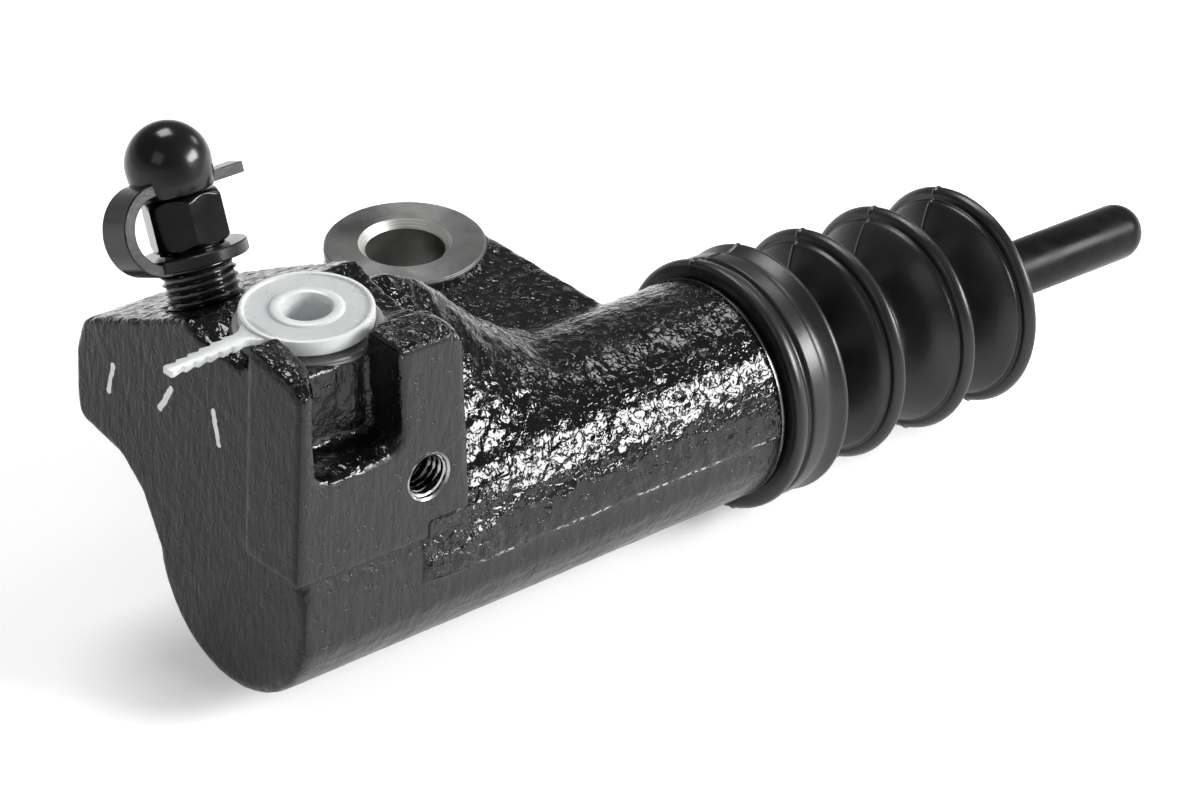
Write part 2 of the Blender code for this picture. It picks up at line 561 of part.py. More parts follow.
def spring_seat(parts, mat):
    """Pressed cap over the piston's nose: it holds the cup and carries the spring's end."""
    x, hub = SPRING_SEAT_X, NOSE_R + GAP
    shoulder = PISTON_X[0] - 1.4 * MM - 3 * GAP
    return make("spring_seat", revolve([
        (x, 0), (x, 5.6 * MM), (x + 3.2 * MM, 5.6 * MM), (x + 3.2 * MM, 8.6 * MM), (x + 4.2 * MM, 8.6 * MM),
        (x + 4.2 * MM, hub + 1.0 * MM), (shoulder, hub + 1.0 * MM), (shoulder, hub), (x + 1.0 * MM, hub),
        (x + 1.0 * MM, 0)]), mat, parts)


def return_spring(parts, mat):
    """Compression spring from the closed end to the seat's flange, its end coils laid close."""
    start = BORE_START + GAP + WIRE_R
    end = SPRING_SEAT_X + 3.2 * MM - GAP - WIRE_R
    per_turn = 16
    curve = bpy.data.curves.new("return_spring", "CURVE")
    curve.dimensions = "3D"
    curve.bevel_depth = WIRE_R
    curve.bevel_resolution = 1
    curve.use_fill_caps = True
    spline = curve.splines.new("POLY")
    count = COILS * per_turn
    spline.points.add(count)
    dead = 2 * WIRE_R + GAP                      # advance of a closed end coil
    for i in range(count + 1):
        turn = i / per_turn
        along = dead * min(turn, 1) + dead * max(turn - COILS + 1, 0)
        along += (end - start - 2 * dead) * min(max((turn - 1) / (COILS - 2), 0), 1)
        angle = math.tau * turn
        spline.points[i].co = (start + along, COIL_R * math.cos(angle), COIL_R * math.sin(angle), 1)
    helper = bpy.data.objects.new("coil", curve)
    bpy.context.scene.collection.objects.link(helper)
    graph = bpy.context.evaluated_depsgraph_get()
    bm = bmesh.new()
    bm.from_mesh(bpy.data.meshes.new_from_object(helper.evaluated_get(graph)))
    bmesh.ops.remove_doubles(bm, verts=bm.verts, dist=0.001 * MM)
    bpy.data.objects.remove(helper, do_unlink=True)
    return make("return_spring", bm, mat, parts)


def stop_ring(parts, mat):
    """Internal snap ring: a C of spring steel with a plier eye at each end."""
    inner, outer = 9.0 * MM, RING_GROOVE_R - GAP
    eye_r, hole_r = 1.5 * MM, 0.7 * MM
    half_gap = 24
    outline = arc((0, 0), outer, half_gap - 90, 270 - half_gap, 44)
    outline += arc((0, 0), inner, 270 - half_gap, half_gap - 90, 44)
    ring = make("stop_ring", prism(outline, "X", *RING_X), mat, parts)
    for side in (-1, 1):
        angle = math.radians(-90 + side * (half_gap + 5))
        y, z = 8.0 * MM * math.cos(angle), 8.0 * MM * math.sin(angle)
        eye = revolve([(RING_X[0], 0), (RING_X[0], eye_r), (RING_X[1], eye_r), (RING_X[1], 0)], steps=16)
        combine(ring, placed(eye, Matrix.Translation((0, y, z))))
        low, high = RING_X[0] - 1 * MM, RING_X[1] + 1 * MM
        hole = revolve([(low, 0), (low, hole_r), (high, hole_r), (high, 0)], steps=16)
        combine(ring, placed(hole, Matrix.Translation((0, y, z))), "DIFFERENCE")
    return ring


def boot_sag(x):
    """How far the bellows hangs with the rod at x: none on the cuff, all of it at the neck."""
    t = min(max((x - SHOULDER[0]) / (NECK_X[0] - SHOULDER[0]), 0), 1)
    return -math.tan(ROD_DROOP) * (NECK_X[0] - BALL.x) * t * t * (3 - 2 * t)


def boot_outline():
    """Closed (x, radius) outline of the boot: out along the skin, back along the inside."""
    cuff_in = SPIGOT_R + GAP
    left = BARREL_LEN + GAP
    x, r = BEAD
    skin = [(left, cuff_in), (left, r - 0.9 * MM)] + arc((x, r - 0.9 * MM), 0.9 * MM, 150, 20, 3)
    skin += [(x + 1.3 * MM, r - 0.9 * MM), (x + 2.0 * MM, r - 1.0 * MM), (x + 2.3 * MM, r - 0.6 * MM),
             (x + 4.7 * MM, r - 0.45 * MM), (x + 5.0 * MM, r - 0.8 * MM), (x + 6.2 * MM, r - 0.85 * MM),
             (SHOULDER[0] - 0.9 * MM, SHOULDER[1] - 0.2 * MM)]
    skin += arc((SHOULDER[0], SHOULDER[1] - 0.8 * MM), 0.8 * MM, 90, 25, 2)
    inside = [(SHOULDER[0] - 0.3 * MM, SHOULDER[1] - 2.3 * MM)]
    last = SHOULDER[0]
    for x, r in CRESTS:
        valley, run = (last + x) / 2, (x - last) / 2
        skin += [(valley - run * 0.55, VALLEY_R + 4.2 * MM), (valley - 0.9 * MM, VALLEY_R + 0.3 * MM),
                 (valley, VALLEY_R), (valley + 0.9 * MM, VALLEY_R + 0.3 * MM),
                 (valley + run * 0.45, VALLEY_R + (r - VALLEY_R) * 0.52),
                 (x - 1.9 * MM, VALLEY_R + (r - VALLEY_R) * 0.86)]
        skin += arc((x, r - 0.75 * MM), 0.75 * MM, 125, 20, 3)
        inside += [(valley, VALLEY_R - RUBBER), (x, r - 2.2 * MM)]
        last = x
    neck_r = ROD_R + 2.1 * MM
    lip_r = ROD_R - NECK_DEPTH + GAP
    skin += [(last + 1.6 * MM, CRESTS[-1][1] - 3.6 * MM), (NECK_X[0] - 0.6 * MM, neck_r + 0.6 * MM),
             (NECK_X[0], neck_r), (NECK_X[1] + 0.4 * MM, neck_r), (NECK_X[1] + 0.7 * MM, neck_r - 0.3 * MM),
             (NECK_X[1] + 0.7 * MM, ROD_R + GAP), (NECK_X[1] - GAP, ROD_R + GAP), (NECK_X[1] - GAP, lip_r),
             (NECK_X[0] + GAP, lip_r), (NECK_X[0] + GAP, ROD_R + GAP), (NECK_X[0] - 1.2 * MM, ROD_R + GAP)]
    lip = SPIGOT_R - GROOVE_DEPTH + GAP
    back = inside[::-1] + [(SPIGOT_END + 0.6 * MM, cuff_in + 0.6 * MM)]
    back += [(SPIGOT_END + 0.3 * MM, cuff_in), (GROOVE[1] - GAP, cuff_in), (GROOVE[1] - GAP, lip),
             (GROOVE[0] + GAP, lip), (GROOVE[0] + GAP, cuff_in)]
    return skin + back


def dust_boot(parts, mat):
    boot = make("dust_boot", revolve(boot_outline(), ring=True, steps=SMALL_STEPS + 8), mat, parts)
    for vert in boot.data.vertices:
        vert.co.z += boot_sag(vert.co.x)
    return boot


def push_rod(parts, mat):
    ball = arc((0, 0), BALL_R, 180, 44, 9)
    tip = ROD_TIP - BALL.x
    neck, waist = [x - BALL.x for x in NECK_X], ROD_R - NECK_DEPTH
    rod = make("push_rod", revolve(ball + [
        (3.9 * MM, 3.0 * MM), (6.0 * MM, 3.0 * MM), (7.6 * MM, ROD_R), (neck[0], ROD_R),
        (neck[0] + 0.1 * MM, waist), (neck[1] - 0.1 * MM, waist), (neck[1], ROD_R)] +
        arc((tip - ROD_R, 0), ROD_R, 90, 0, 6), steps=SMALL_STEPS), mat, parts)
    rod.matrix_world = Matrix.Translation(BALL) @ Matrix.Rotation(ROD_DROOP, 4, "Y")
    return rod


def main():
    clear_scene()
    parts = bpy.data.collections.new("clutch_slave_cylinder")
    bpy.context.scene.collection.children.link(parts)
    iron = material("black_painted_iron", (0.03, 0.03, 0.032), 0.35)
    steel = material("black_steel", (0.06, 0.06, 0.065), 0.4, 0.8)
    bright = material("bright_steel", (0.55, 0.55, 0.56), 0.35, 1.0)
    alloy = material("turned_aluminium", (0.7, 0.7, 0.72), 0.3, 1.0)
    rubber = material("black_rubber", (0.025, 0.025, 0.026), 0.55)
    plastic = material("milky_plastic", (0.85, 0.86, 0.86), 0.4)
    cylinder_body(parts, iron)
    bleed_screw(parts, steel)
    bleed_cap(parts, rubber)
    port_plug(parts, plastic)
    piston(parts, alloy)
    cup_seal("pressure_cup", PISTON_X[0] - GAP, CUP_DEPTH[0], NOSE_R + GAP, parts, rubber)
    cup_seal("rear_cup", PISTON_X[0] + SEAL_GROOVE[1] - GAP, CUP_DEPTH[1], SEAL_GROOVE_R + GAP, parts, rubber)
    spring_seat(parts, bright)
    return_spring(parts, bright)
    stop_ring(parts, bright)
    dust_boot(parts, rubber)
    push_rod(parts, steel)


main()
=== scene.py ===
"""Clutch slave cylinder, dressed for its portrait.

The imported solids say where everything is. Each visible solid is replaced by a finer piece of the same
size: a rough enamelled casting, turned seats, a threaded bleed screw, moulded rubber and plastic.
"""

import math

import bmesh
import bpy
import numpy as np
from mathutils import Matrix, Vector, noise


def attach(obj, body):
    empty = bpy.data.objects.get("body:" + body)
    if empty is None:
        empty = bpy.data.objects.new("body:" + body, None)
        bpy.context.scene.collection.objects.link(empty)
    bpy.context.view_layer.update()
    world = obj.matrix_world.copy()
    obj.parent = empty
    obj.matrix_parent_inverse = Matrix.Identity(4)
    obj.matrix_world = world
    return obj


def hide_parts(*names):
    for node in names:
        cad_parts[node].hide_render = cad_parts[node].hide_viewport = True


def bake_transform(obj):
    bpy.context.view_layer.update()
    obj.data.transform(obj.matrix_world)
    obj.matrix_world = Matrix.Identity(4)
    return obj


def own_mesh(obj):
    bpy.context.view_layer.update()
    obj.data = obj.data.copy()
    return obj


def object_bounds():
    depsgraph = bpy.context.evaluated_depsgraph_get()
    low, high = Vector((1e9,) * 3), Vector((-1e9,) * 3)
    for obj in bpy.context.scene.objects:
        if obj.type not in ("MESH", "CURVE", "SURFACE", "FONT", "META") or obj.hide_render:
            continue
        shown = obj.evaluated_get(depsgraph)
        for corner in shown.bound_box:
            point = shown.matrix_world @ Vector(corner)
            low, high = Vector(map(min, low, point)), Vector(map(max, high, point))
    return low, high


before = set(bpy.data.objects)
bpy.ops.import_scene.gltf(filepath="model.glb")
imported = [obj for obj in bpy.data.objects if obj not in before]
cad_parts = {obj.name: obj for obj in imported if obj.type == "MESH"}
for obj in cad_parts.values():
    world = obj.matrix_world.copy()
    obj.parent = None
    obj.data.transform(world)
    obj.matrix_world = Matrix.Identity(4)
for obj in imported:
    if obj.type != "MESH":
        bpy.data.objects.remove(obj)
cad_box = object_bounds()

MM = 0.001

# The object's own sizes, as in the solids but for the boot's bead, its valleys and its rubber's thickness
BARREL_R = 15.4 * MM
BARREL_LEN = 80.3 * MM
SPIGOT_R = 13.2 * MM
SEAT_TILT = math.radians(-3.9)                # the machined seats lean back from the bore's vertical
PORT = Vector((11.7, 0.5, 32.3)) * MM
PORT_FACE_R = 9.6 * MM
LUG = Vector((58.85, 38.4, 12.0)) * MM
LUG_R = 11.2 * MM
LUG_HOLE_R = 5.45 * MM
LUG_THICK = 11.5 * MM
LUG_CHAMFER = 0.95 * MM
LUG_LIFT = 0.03 * MM                          # its turned faces stand this proud of the solid's

PARTING_Z = -0.1 * MM
FLASH_Y = -14 * MM                            # the parting's fin shows nearer than this, and past FLASH_START
FLASH_START = 23 * MM
STEP_X = 19 * MM                              # the rough upper skin ends here, under the bracket
FORK_FRONT = -15.6 * MM
FORK_RIGHT = 26.5 * MM
FORK_FOOT = 6.6 * MM
SLOT_X = (1.1 * MM, 14.4 * MM)
SLOT_FLOOR = 21.2 * MM
PRONG_TOPS = 32.5 * MM                        # above this height the bracket is only its prongs' rough tops
TAPPED = Vector((18.5 * MM, FORK_FRONT, 15.8 * MM))
TAPPED_R = 3.0 * MM
TAPPED_DEPTH = 8 * MM

SKIN_STEP = 0.46 * MM                         # grid of the casting's skin, fine enough for its sand grains
GRAIN_HEIGHT = 0.10 * MM

SPRING_X = (6.3 * MM, 53.9 * MM)              # ends of the return spring at rest
COIL_R = 7.3 * MM
WIRE_R = 0.65 * MM
COILS = 8

BALL_X = 74.0 * MM
BALL_R = 4.3 * MM
ROD_R = 4.07 * MM
ROD_TIP = 164.7 * MM
ROD_DROOP = math.radians(1.0)
BEAD = (BARREL_LEN + 1.4 * MM, 17.5 * MM)     # boot: (x, radius) of its bead, shoulder and crests
SHOULDER = (BARREL_LEN + 9.4 * MM, 17.4 * MM)
CRESTS = ((BARREL_LEN + 21.2 * MM, 16.3 * MM), (BARREL_LEN + 34.9 * MM, 16.0 * MM),
          (BARREL_LEN + 47.4 * MM, 15.6 * MM))
VALLEY_R = 8.4 * MM                           # leaves the rod room to swing inside the folds
RUBBER = 0.9 * MM
NECK_X = (BARREL_LEN + 51.3 * MM, BARREL_LEN + 54.1 * MM)
MOULD_LINE = math.radians(-19)                # the boot's mould lines, from straight down

FACET_TILT = math.radians(24.2)
BLEED = Vector((8.7, 17.0, 29.1)) * MM
THREAD_R = 5.0 * MM
PITCH = 1.0 * MM
RING_U = (5.0 * MM, 6.6 * MM)                 # heights above the facet, along the bleed screw
HEX_U = (7.0 * MM, 13.5 * MM)
HEX_AF = 9.2 * MM
HEX_TURN = math.radians(7)
CAP_R = 5.45 * MM
CAP_BASE = 13.8 * MM
CAP_SHOULDER = 17.6 * MM
CAP_LEAN = -0.45 * MM                         # the soft dome sits a little towards -X on its nipple
STRAP_REACH = 10.7 * MM
STRAP_WIDTH = 5.2 * MM
STRAP_THICK = 1.6 * MM
TAB_REACH = 9.2 * MM

PLUG_R = 8.4 * MM
PLUG_TOP = 2.2 * MM
PLUG_HOLE_R = 3.25 * MM
TAIL_TIP = 21.1 * MM
TAIL_THICK = 0.95 * MM

# The photograph's viewpoint, fitted to the object's circles and edges
EYE = (-288.3 * MM, -372.2 * MM, 301.6 * MM)
EYE_TURN, EYE_TILT, EYE_ROLL = (math.radians(a) for a in (-43.168, 30.186, 3.606))
LENS, FILM = 135.02, 36.0                     # millimetres

# Ends (y, z) in millimetres of the plain ticks a paint pen left on the end face
TICKS = (((24.4, 19.0), (25.3, 15.2)), ((12.3, 21.4), (14.6, 17.6)), ((3.8, 22.2), (2.6, 18.2)))


def srgb(code):
    """Linear RGBA of an sRGB hex colour."""
    parts = [int(code[i:i + 2], 16) / 255 for i in (1, 3, 5)]
    return (*[c / 12.92 if c <= 0.04045 else ((c + 0.055) / 1.055) ** 2.4 for c in parts], 1.0)


def add(mat, kind, inputs=(), output=0, **settings):
    """One shader node with its settings and links; returns the output asked for.

    Inputs go by the sockets' order or by name, and each is a value or another node's output.
    """
    made = mat.node_tree.nodes.new("ShaderNode" + kind)
    for key, value in settings.items():
        setattr(made, key, value)
    for key, value in inputs.items() if isinstance(inputs, dict) else enumerate(inputs):
        if isinstance(value, bpy.types.NodeSocket):
            mat.node_tree.links.new(value, made.inputs[key])
        else:
            made.inputs[key].default_value = value
    return made.outputs[output]


def finish(name, colour, roughness, **sockets):
    """A Principled material; further sockets by name, with spaces as underscores."""
    mat = bpy.data.materials.new(name)
    mat.use_nodes = True
    shader = mat.node_tree.nodes["Principled BSDF"]
    shader.inputs["Base Color"].default_value = srgb(colour)
    shader.inputs["Roughness"].default_value = roughness
    for key, value in sockets.items():
        shader.inputs[key.replace("_", " ").title().replace("Ior", "IOR")].default_value = value
    return mat, shader


def link(mat, output, shader, socket):
    mat.node_tree.links.new(output, shader.inputs[socket])


def blobs(size):
    """Noise scale whose blobs are about this many metres across."""
    return 0.5 / size


def near(mat, value, middle, full, none):
    """White where a value is within `full` of the middle, fading out until it is `none` away."""
    off = add(mat, "Math", (value, middle), operation="SUBTRACT")
    off = add(mat, "Math", (off,), operation="ABSOLUTE")
    return add(mat, "MapRange", (off, full, none, 1.0, 0.0))


def tick_mask(mat, at):
    """White where a paint pen drew the inspector's three plain ticks on the end face."""
    flat = add(mat, "VectorMath", (at, (0, 1, 1)), operation="MULTIPLY")
    wobble = add(mat, "TexNoise", {"Vector": at, "Scale": blobs(0.7 * MM), "Detail": 3.0})
    width = add(mat, "Math", (wobble, 0.8 * MM, 0.02 * MM), operation="MULTIPLY_ADD")
    ticks = 0.0
    for start, end in TICKS:
        start, end = Vector((0, *start)) * MM, Vector((0, *end)) * MM
        run = end - start
        rel = add(mat, "VectorMath", (flat, start), operation="SUBTRACT")
        along = add(mat, "VectorMath", (rel, run / run.length_squared), "Value", operation="DOT_PRODUCT")
        foot = add(mat, "VectorMath", {0: run, "Scale": add(mat, "Clamp", (along,))}, operation="SCALE")
        off = add(mat, "VectorMath", (rel, foot), "Value", operation="DISTANCE")
        inside = add(mat, "Math", (off, width), operation="LESS_THAN")
        ticks = add(mat, "Math", (ticks, inside), operation="MAXIMUM")
    on_end = add(mat, "Math", (add(mat, "SeparateXYZ", (at,), "X"), 1.0 * MM), operation="LESS_THAN")
    return add(mat, "Math", (ticks, on_end), operation="MULTIPLY")


def flash_line(mat, at):
    """White along the broken fin that the mould's parting left down the barrel's near side."""
    x, y, z = (add(mat, "SeparateXYZ", (at,), axis) for axis in "XYZ")
    wobble = add(mat, "TexNoise", {"Vector": at, "Scale": blobs(3 * MM), "Detail": 3.0})
    wander = add(mat, "Math", (wobble, 1.2 * MM, z), operation="MULTIPLY_ADD")
    fin = near(mat, wander, PARTING_Z + 0.6 * MM, 0.12 * MM, 0.34 * MM)
    runs = add(mat, "TexNoise", {"Vector": at, "Scale": blobs(3 * MM)})
    flecks = add(mat, "TexNoise", {"Vector": at, "Scale": blobs(0.3 * MM), "Detail": 3.0})
    for share in (add(mat, "MapRange", (runs, 0.42, 0.54)),
                  add(mat, "MapRange", (flecks, 0.47, 0.53)),
                  add(mat, "Math", (y, FLASH_Y), operation="LESS_THAN"),
                  add(mat, "Math", (x, FLASH_START), operation="GREATER_THAN")):
        fin = add(mat, "Math", (fin, share), operation="MULTIPLY")
    return fin


def painted_edge_highlight(mat, at):
    """White along the lower edge of the bracket's foot: a painted highlight of the light that edge catches.
    """
    x, y, z = (add(mat, "SeparateXYZ", (at,), axis) for axis in "XYZ")
    line = near(mat, z, FORK_FOOT, 0.05 * MM, 0.24 * MM)
    left = add(mat, "Math", (x, -0.25 * MM), operation="LESS_THAN")
    front = add(mat, "Math", (y, FORK_FRONT + 0.45 * MM), operation="LESS_THAN")
    patches = add(mat, "TexNoise", {"Vector": at, "Scale": blobs(1.6 * MM), "Detail": 4.0})
    for share in (add(mat, "MapRange", (patches, 0.38, 0.6)),
                  add(mat, "Math", (left, front), operation="MAXIMUM"),
                  add(mat, "Math", (x, STEP_X), operation="LESS_THAN")):
        line = add(mat, "Math", (line, share), operation="MULTIPLY")
    return line


def leather(mat, at):
    """Height of soft lumps of enamel, parted by thin creases that wander along a noise's middle level."""
    lumps = add(mat, "TexNoise", {"Vector": at, "Scale": blobs(1.1 * MM), "Detail": 1.5})
    sand = add(mat, "TexNoise", {"Vector": at, "Scale": blobs(0.4 * MM), "Detail": 1.0})
    swirl = add(mat, "TexNoise", {"Vector": at, "Scale": blobs(0.7 * MM), "Detail": 1.5})
    off = add(mat, "Math", (swirl, 0.5), operation="SUBTRACT")
    creases = add(mat, "MapRange", (add(mat, "Math", (off,), operation="ABSOLUTE"), 0.0, 0.05))
    height = add(mat, "Math", (creases, 0.06, lumps), operation="MULTIPLY_ADD")
    return add(mat, "Math", (sand, 0.26, height), operation="MULTIPLY_ADD")


def enamelled_iron(name, sheen):
    """Sand-cast iron under dipped black gloss enamel: the grains show through as a leathery, sparkling skin.

    The mesh's own values say where it is calm, on the flatter mould faces, and coarse, where the sand tore.
    """
    mat, shader = finish(name, "#0b0b0c", 0.2, specular_ior_level=sheen)
    at = add(mat, "TexCoord", output="Object")
    calm = add(mat, "Attribute", output="Fac", attribute_name="calm")
    coarse = add(mat, "Attribute", output="Fac", attribute_name="coarse")

    share = add(mat, "Math", (calm, -0.7, 1.0), operation="MULTIPLY_ADD")
    share = add(mat, "Math", (coarse, 1.6, share), operation="MULTIPLY_ADD")
    height = add(mat, "Math", (leather(mat, at), share), operation="MULTIPLY")
    bump = add(mat, "Bump", {"Height": height, "Distance": 0.36 * MM, "Strength": 1.0})
    # Calm faces carry fine upright drags from the pattern's draw, and pinholes where the enamel sank in.
    upright = add(mat, "VectorMath", (at, (1, 1, 0.28)), operation="MULTIPLY")
    drags = add(mat, "TexNoise", {"Vector": upright, "Scale": blobs(0.42 * MM), "Detail": 3.0})
    pits = add(mat, "TexNoise", {"Vector": at, "Scale": blobs(0.55 * MM), "Detail": 3.0})
    pinholes = add(mat, "MapRange", (pits, 0.60, 0.70))
    drags = add(mat, "Math", (drags, calm), operation="MULTIPLY")
    marks = add(mat, "Math", (pinholes, -0.5, drags), operation="MULTIPLY_ADD")
    bump = add(mat, "Bump", {"Height": marks, "Distance": 0.2 * MM, "Strength": 1.0, "Normal": bump})
    fin = flash_line(mat, at)
    bump = add(mat, "Bump", {"Height": fin, "Distance": 0.16 * MM, "Strength": 1.0, "Normal": bump})
    link(mat, bump, shader, "Normal")

    cloud = add(mat, "TexNoise", {"Vector": at, "Scale": blobs(2.6 * MM), "Detail": 4.0})
    gloss = add(mat, "MapRange", (cloud, 0.35, 0.7, 0.07, 0.17))
    gloss = add(mat, "Math", (calm, 0.26, gloss), operation="MULTIPLY_ADD")
    link(mat, add(mat, "Math", (coarse, 0.06, gloss), operation="MULTIPLY_ADD"), shader, "Roughness")

    colour = srgb("#080808")
    for share, over in ((calm, "#161616"),                                                 # dust
                        # painted shade: the pinholes are darker than the dust round them
                        (add(mat, "Math", (pinholes, calm), operation="MULTIPLY"), "#070707"),
                        (fin, "#c4c4c0"),                                                  # bare flash
                        # painted highlight along the lower edge of the bracket's foot
                        (painted_edge_highlight(mat, at), "#6f6f6c"),
                        (tick_mask(mat, at), "#e9e9e6")):                                  # paint pen
        colour = add(mat, "Mix", {"Factor": share, "A": colour, "B": srgb(over)}, "Result", data_type="RGBA")
    link(mat, colour, shader, "Base Color")
    return mat


def turned_iron(name, centre, fresh="#7d7d7c", stained="#454544"):
    """Bare cast iron faced on a lathe: fine rings round the seat's centre, dulled by stains of oil."""
    mat, shader = finish(name, fresh, 0.4, metallic=0.9)
    at = add(mat, "TexCoord", output="Object")
    local = add(mat, "VectorMath", (at, centre), operation="SUBTRACT")
    level = add(mat, "VectorRotate", {"Vector": local, "Angle": -SEAT_TILT, "Axis": (0, 1, 0)},
                rotation_type="AXIS_ANGLE")
    flat = add(mat, "VectorMath", (level, (1, 1, 0)), operation="MULTIPLY")
    radius = add(mat, "VectorMath", (flat,), "Value", operation="LENGTH")
    # Feed marks are 0.12 mm apart on the real face, and are drawn 0.3 mm apart so that they show.
    wander = add(mat, "TexNoise", {"Vector": at, "Scale": blobs(4 * MM)})
    wander = add(mat, "Math", (wander, 6.0), operation="MULTIPLY")
    rings = add(mat, "Math", (radius, math.tau / (0.3 * MM), wander), operation="MULTIPLY_ADD")
    rings = add(mat, "Math", (rings,), operation="SINE")
    link(mat, add(mat, "Bump", {"Height": rings, "Distance": 0.012 * MM, "Strength": 1.0}), shader, "Normal")
    stains = add(mat, "TexNoise", {"Vector": at, "Scale": blobs(3.5 * MM), "Detail": 5.0})
    worn = add(mat, "MapRange", (stains, 0.3, 0.7, 0.36, 0.52))
    link(mat, add(mat, "Math", (rings, 0.04, worn), operation="MULTIPLY_ADD"), shader, "Roughness")
    share = add(mat, "MapRange", (stains, 0.35, 0.75))
    shade = add(mat, "Mix", {"Factor": share, "A": srgb(fresh), "B": srgb(stained)}, "Result",
                data_type="RGBA")
    link(mat, shade, shader, "Base Color")
    return mat


def speckle(mat, shader, grit, depth, patch, low, high, detail=2.0):
    """Fine bump from grit of this size and depth, and roughness from low to high in patches of this size."""
    at = add(mat, "TexCoord", output="Object")
    fine = add(mat, "TexNoise", {"Vector": at, "Scale": blobs(grit), "Detail": detail})
    link(mat, add(mat, "Bump", {"Height": fine, "Distance": depth, "Strength": 1.0}), shader, "Normal")
    wide = add(mat, "TexNoise", {"Vector": at, "Scale": blobs(patch)})
    link(mat, add(mat, "MapRange", (wide, 0.3, 0.7, low, high)), shader, "Roughness")


def cut_iron(name, colour):
    """Freshly cut iron of a chamfer or thread: bright, with fine tool marks."""
    mat, shader = finish(name, colour, 0.28, metallic=1.0)
    speckle(mat, shader, 0.25 * MM, 0.02 * MM, 1.5 * MM, 0.2, 0.42, 3.0)
    return mat


def clouded(mat, shader, fine, depth, cloud, share, colours, roughness):
    """Fine bump, and a wide cloud that moves the roughness and mixes two colours by this share."""
    link(mat, add(mat, "Bump", {"Height": fine, "Distance": depth, "Strength": 1.0}), shader, "Normal")
    link(mat, add(mat, "MapRange", (cloud, 0.3, 0.7, *roughness)), shader, "Roughness")
    below, over = (srgb(c) for c in colours)
    shade = add(mat, "Mix", {"Factor": share, "A": below, "B": over}, "Result", data_type="RGBA")
    link(mat, shade, shader, "Base Color")


def blackened_steel(name, colour, roughness, sheen):
    """Steel with a black oxide finish: satin, with faint turning marks, and paler where it is rubbed."""
    mat, shader = finish(name, colour, 0.35, metallic=0.1, specular_ior_level=sheen)
    at = add(mat, "TexCoord", output="Object")
    marks = add(mat, "TexNoise", {"Vector": at, "Scale": blobs(0.6 * MM), "Detail": 3.0})
    cloud = add(mat, "TexNoise", {"Vector": at, "Scale": blobs(2.2 * MM), "Detail": 5.0})
    rubbed = add(mat, "MapRange", (cloud, 0.45, 0.8))
    clouded(mat, shader, marks, 0.008 * MM, cloud, rubbed, (colour, "#1d1d1e"), roughness)
    return mat


def moulded_rubber(name, colour, roughness, sheen=0.5):
    """EPDM rubber out of a polished mould: satin, a little greyer in patches where it has bloomed."""
    mat, shader = finish(name, colour, roughness, ior=1.47, specular_ior_level=sheen)
    at = add(mat, "TexCoord", output="Object")
    skin = add(mat, "TexNoise", {"Vector": at, "Scale": blobs(0.35 * MM)})
    patches = add(mat, "TexNoise", {"Vector": at, "Scale": blobs(5 * MM), "Detail": 4.0})
    bloomed = add(mat, "MapRange", (patches, 0.4, 0.75, 0, 0.6))
    clouded(mat, shader, skin, 0.012 * MM, patches, bloomed, (colour, "#1d1d1e"),
            (roughness - 0.05, roughness + 0.08))
    return mat


def milky_polythene():
    """Natural LDPE: waxy and see-through enough that the dark port greys it."""
    mat, shader = finish("milky_polythene", "#dcdfdf", 0.34, ior=1.51, subsurface_weight=0.5,
                         subsurface_radius=(1.0, 1.0, 1.0), subsurface_scale=1.2 * MM,
                         transmission_weight=0.3)
    # Painted shade: the thin web between the rim and the collar scatters less light than they do, and is
    # coloured greyer.
    at = add(mat, "TexCoord", output="Object")
    local = add(mat, "VectorMath", (at, PORT), operation="SUBTRACT")
    flat = add(mat, "VectorMath", (local, (1, 1, 0)), operation="MULTIPLY")
    radius = add(mat, "VectorMath", (flat,), "Value", operation="LENGTH")
    middle = (PLUG_HOLE_R + 1.5 * MM + PLUG_R - 0.9 * MM) / 2
    painted_web_shade = near(mat, radius, middle, 1.2 * MM, 1.7 * MM)
    shade = add(mat, "Mix", {"Factor": painted_web_shade, "A": srgb("#e4e7e7"), "B": srgb("#d2d5d5")}, "Result",
                data_type="RGBA")
    link(mat, shade, shader, "Base Color")
    speckle(mat, shader, 0.6 * MM, 0.015 * MM, 3 * MM, 0.22, 0.36)
    return mat


def spring_wire():
    """Bright drawn steel of the hidden spring, seat and snap ring."""
    mat, shader = finish("spring_wire", "#8e8e8f", 0.3, metallic=1.0)
    speckle(mat, shader, 0.3 * MM, 0.01 * MM, 2 * MM, 0.24, 0.36)
    return mat


def turned_aluminium():
    """Turned aluminium of the piston: pale, with fine rings along its length."""
    mat, shader = finish("turned_aluminium", "#b9bbbd", 0.3, metallic=1.0)
    at = add(mat, "TexCoord", output="Object")
    # Feed marks are 0.1 mm apart on the real piston, and are drawn 0.4 mm apart so that they show.
    x = add(mat, "SeparateXYZ", (at,), "X")
    rings = add(mat, "Math", (x, math.tau / (0.4 * MM)), operation="MULTIPLY")
    rings = add(mat, "Math", (rings,), operation="SINE")
    link(mat, add(mat, "Bump", {"Height": rings, "Distance": 0.008 * MM, "Strength": 1.0}), shader, "Normal")
    cloud = add(mat, "TexNoise", {"Vector": at, "Scale": blobs(2 * MM)})
    link(mat, add(mat, "MapRange", (cloud, 0.3, 0.7, 0.24, 0.36)), shader, "Roughness")
    return mat


def ready(obj, mat, body, replaced=()):
    """Link a piece, give it its material and body, and say which solids it stands for."""
    bpy.context.scene.collection.objects.link(obj)
    obj.data.materials.append(mat)
    if body:
        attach(obj, body)
    if replaced:
        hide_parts(*replaced)
    return obj


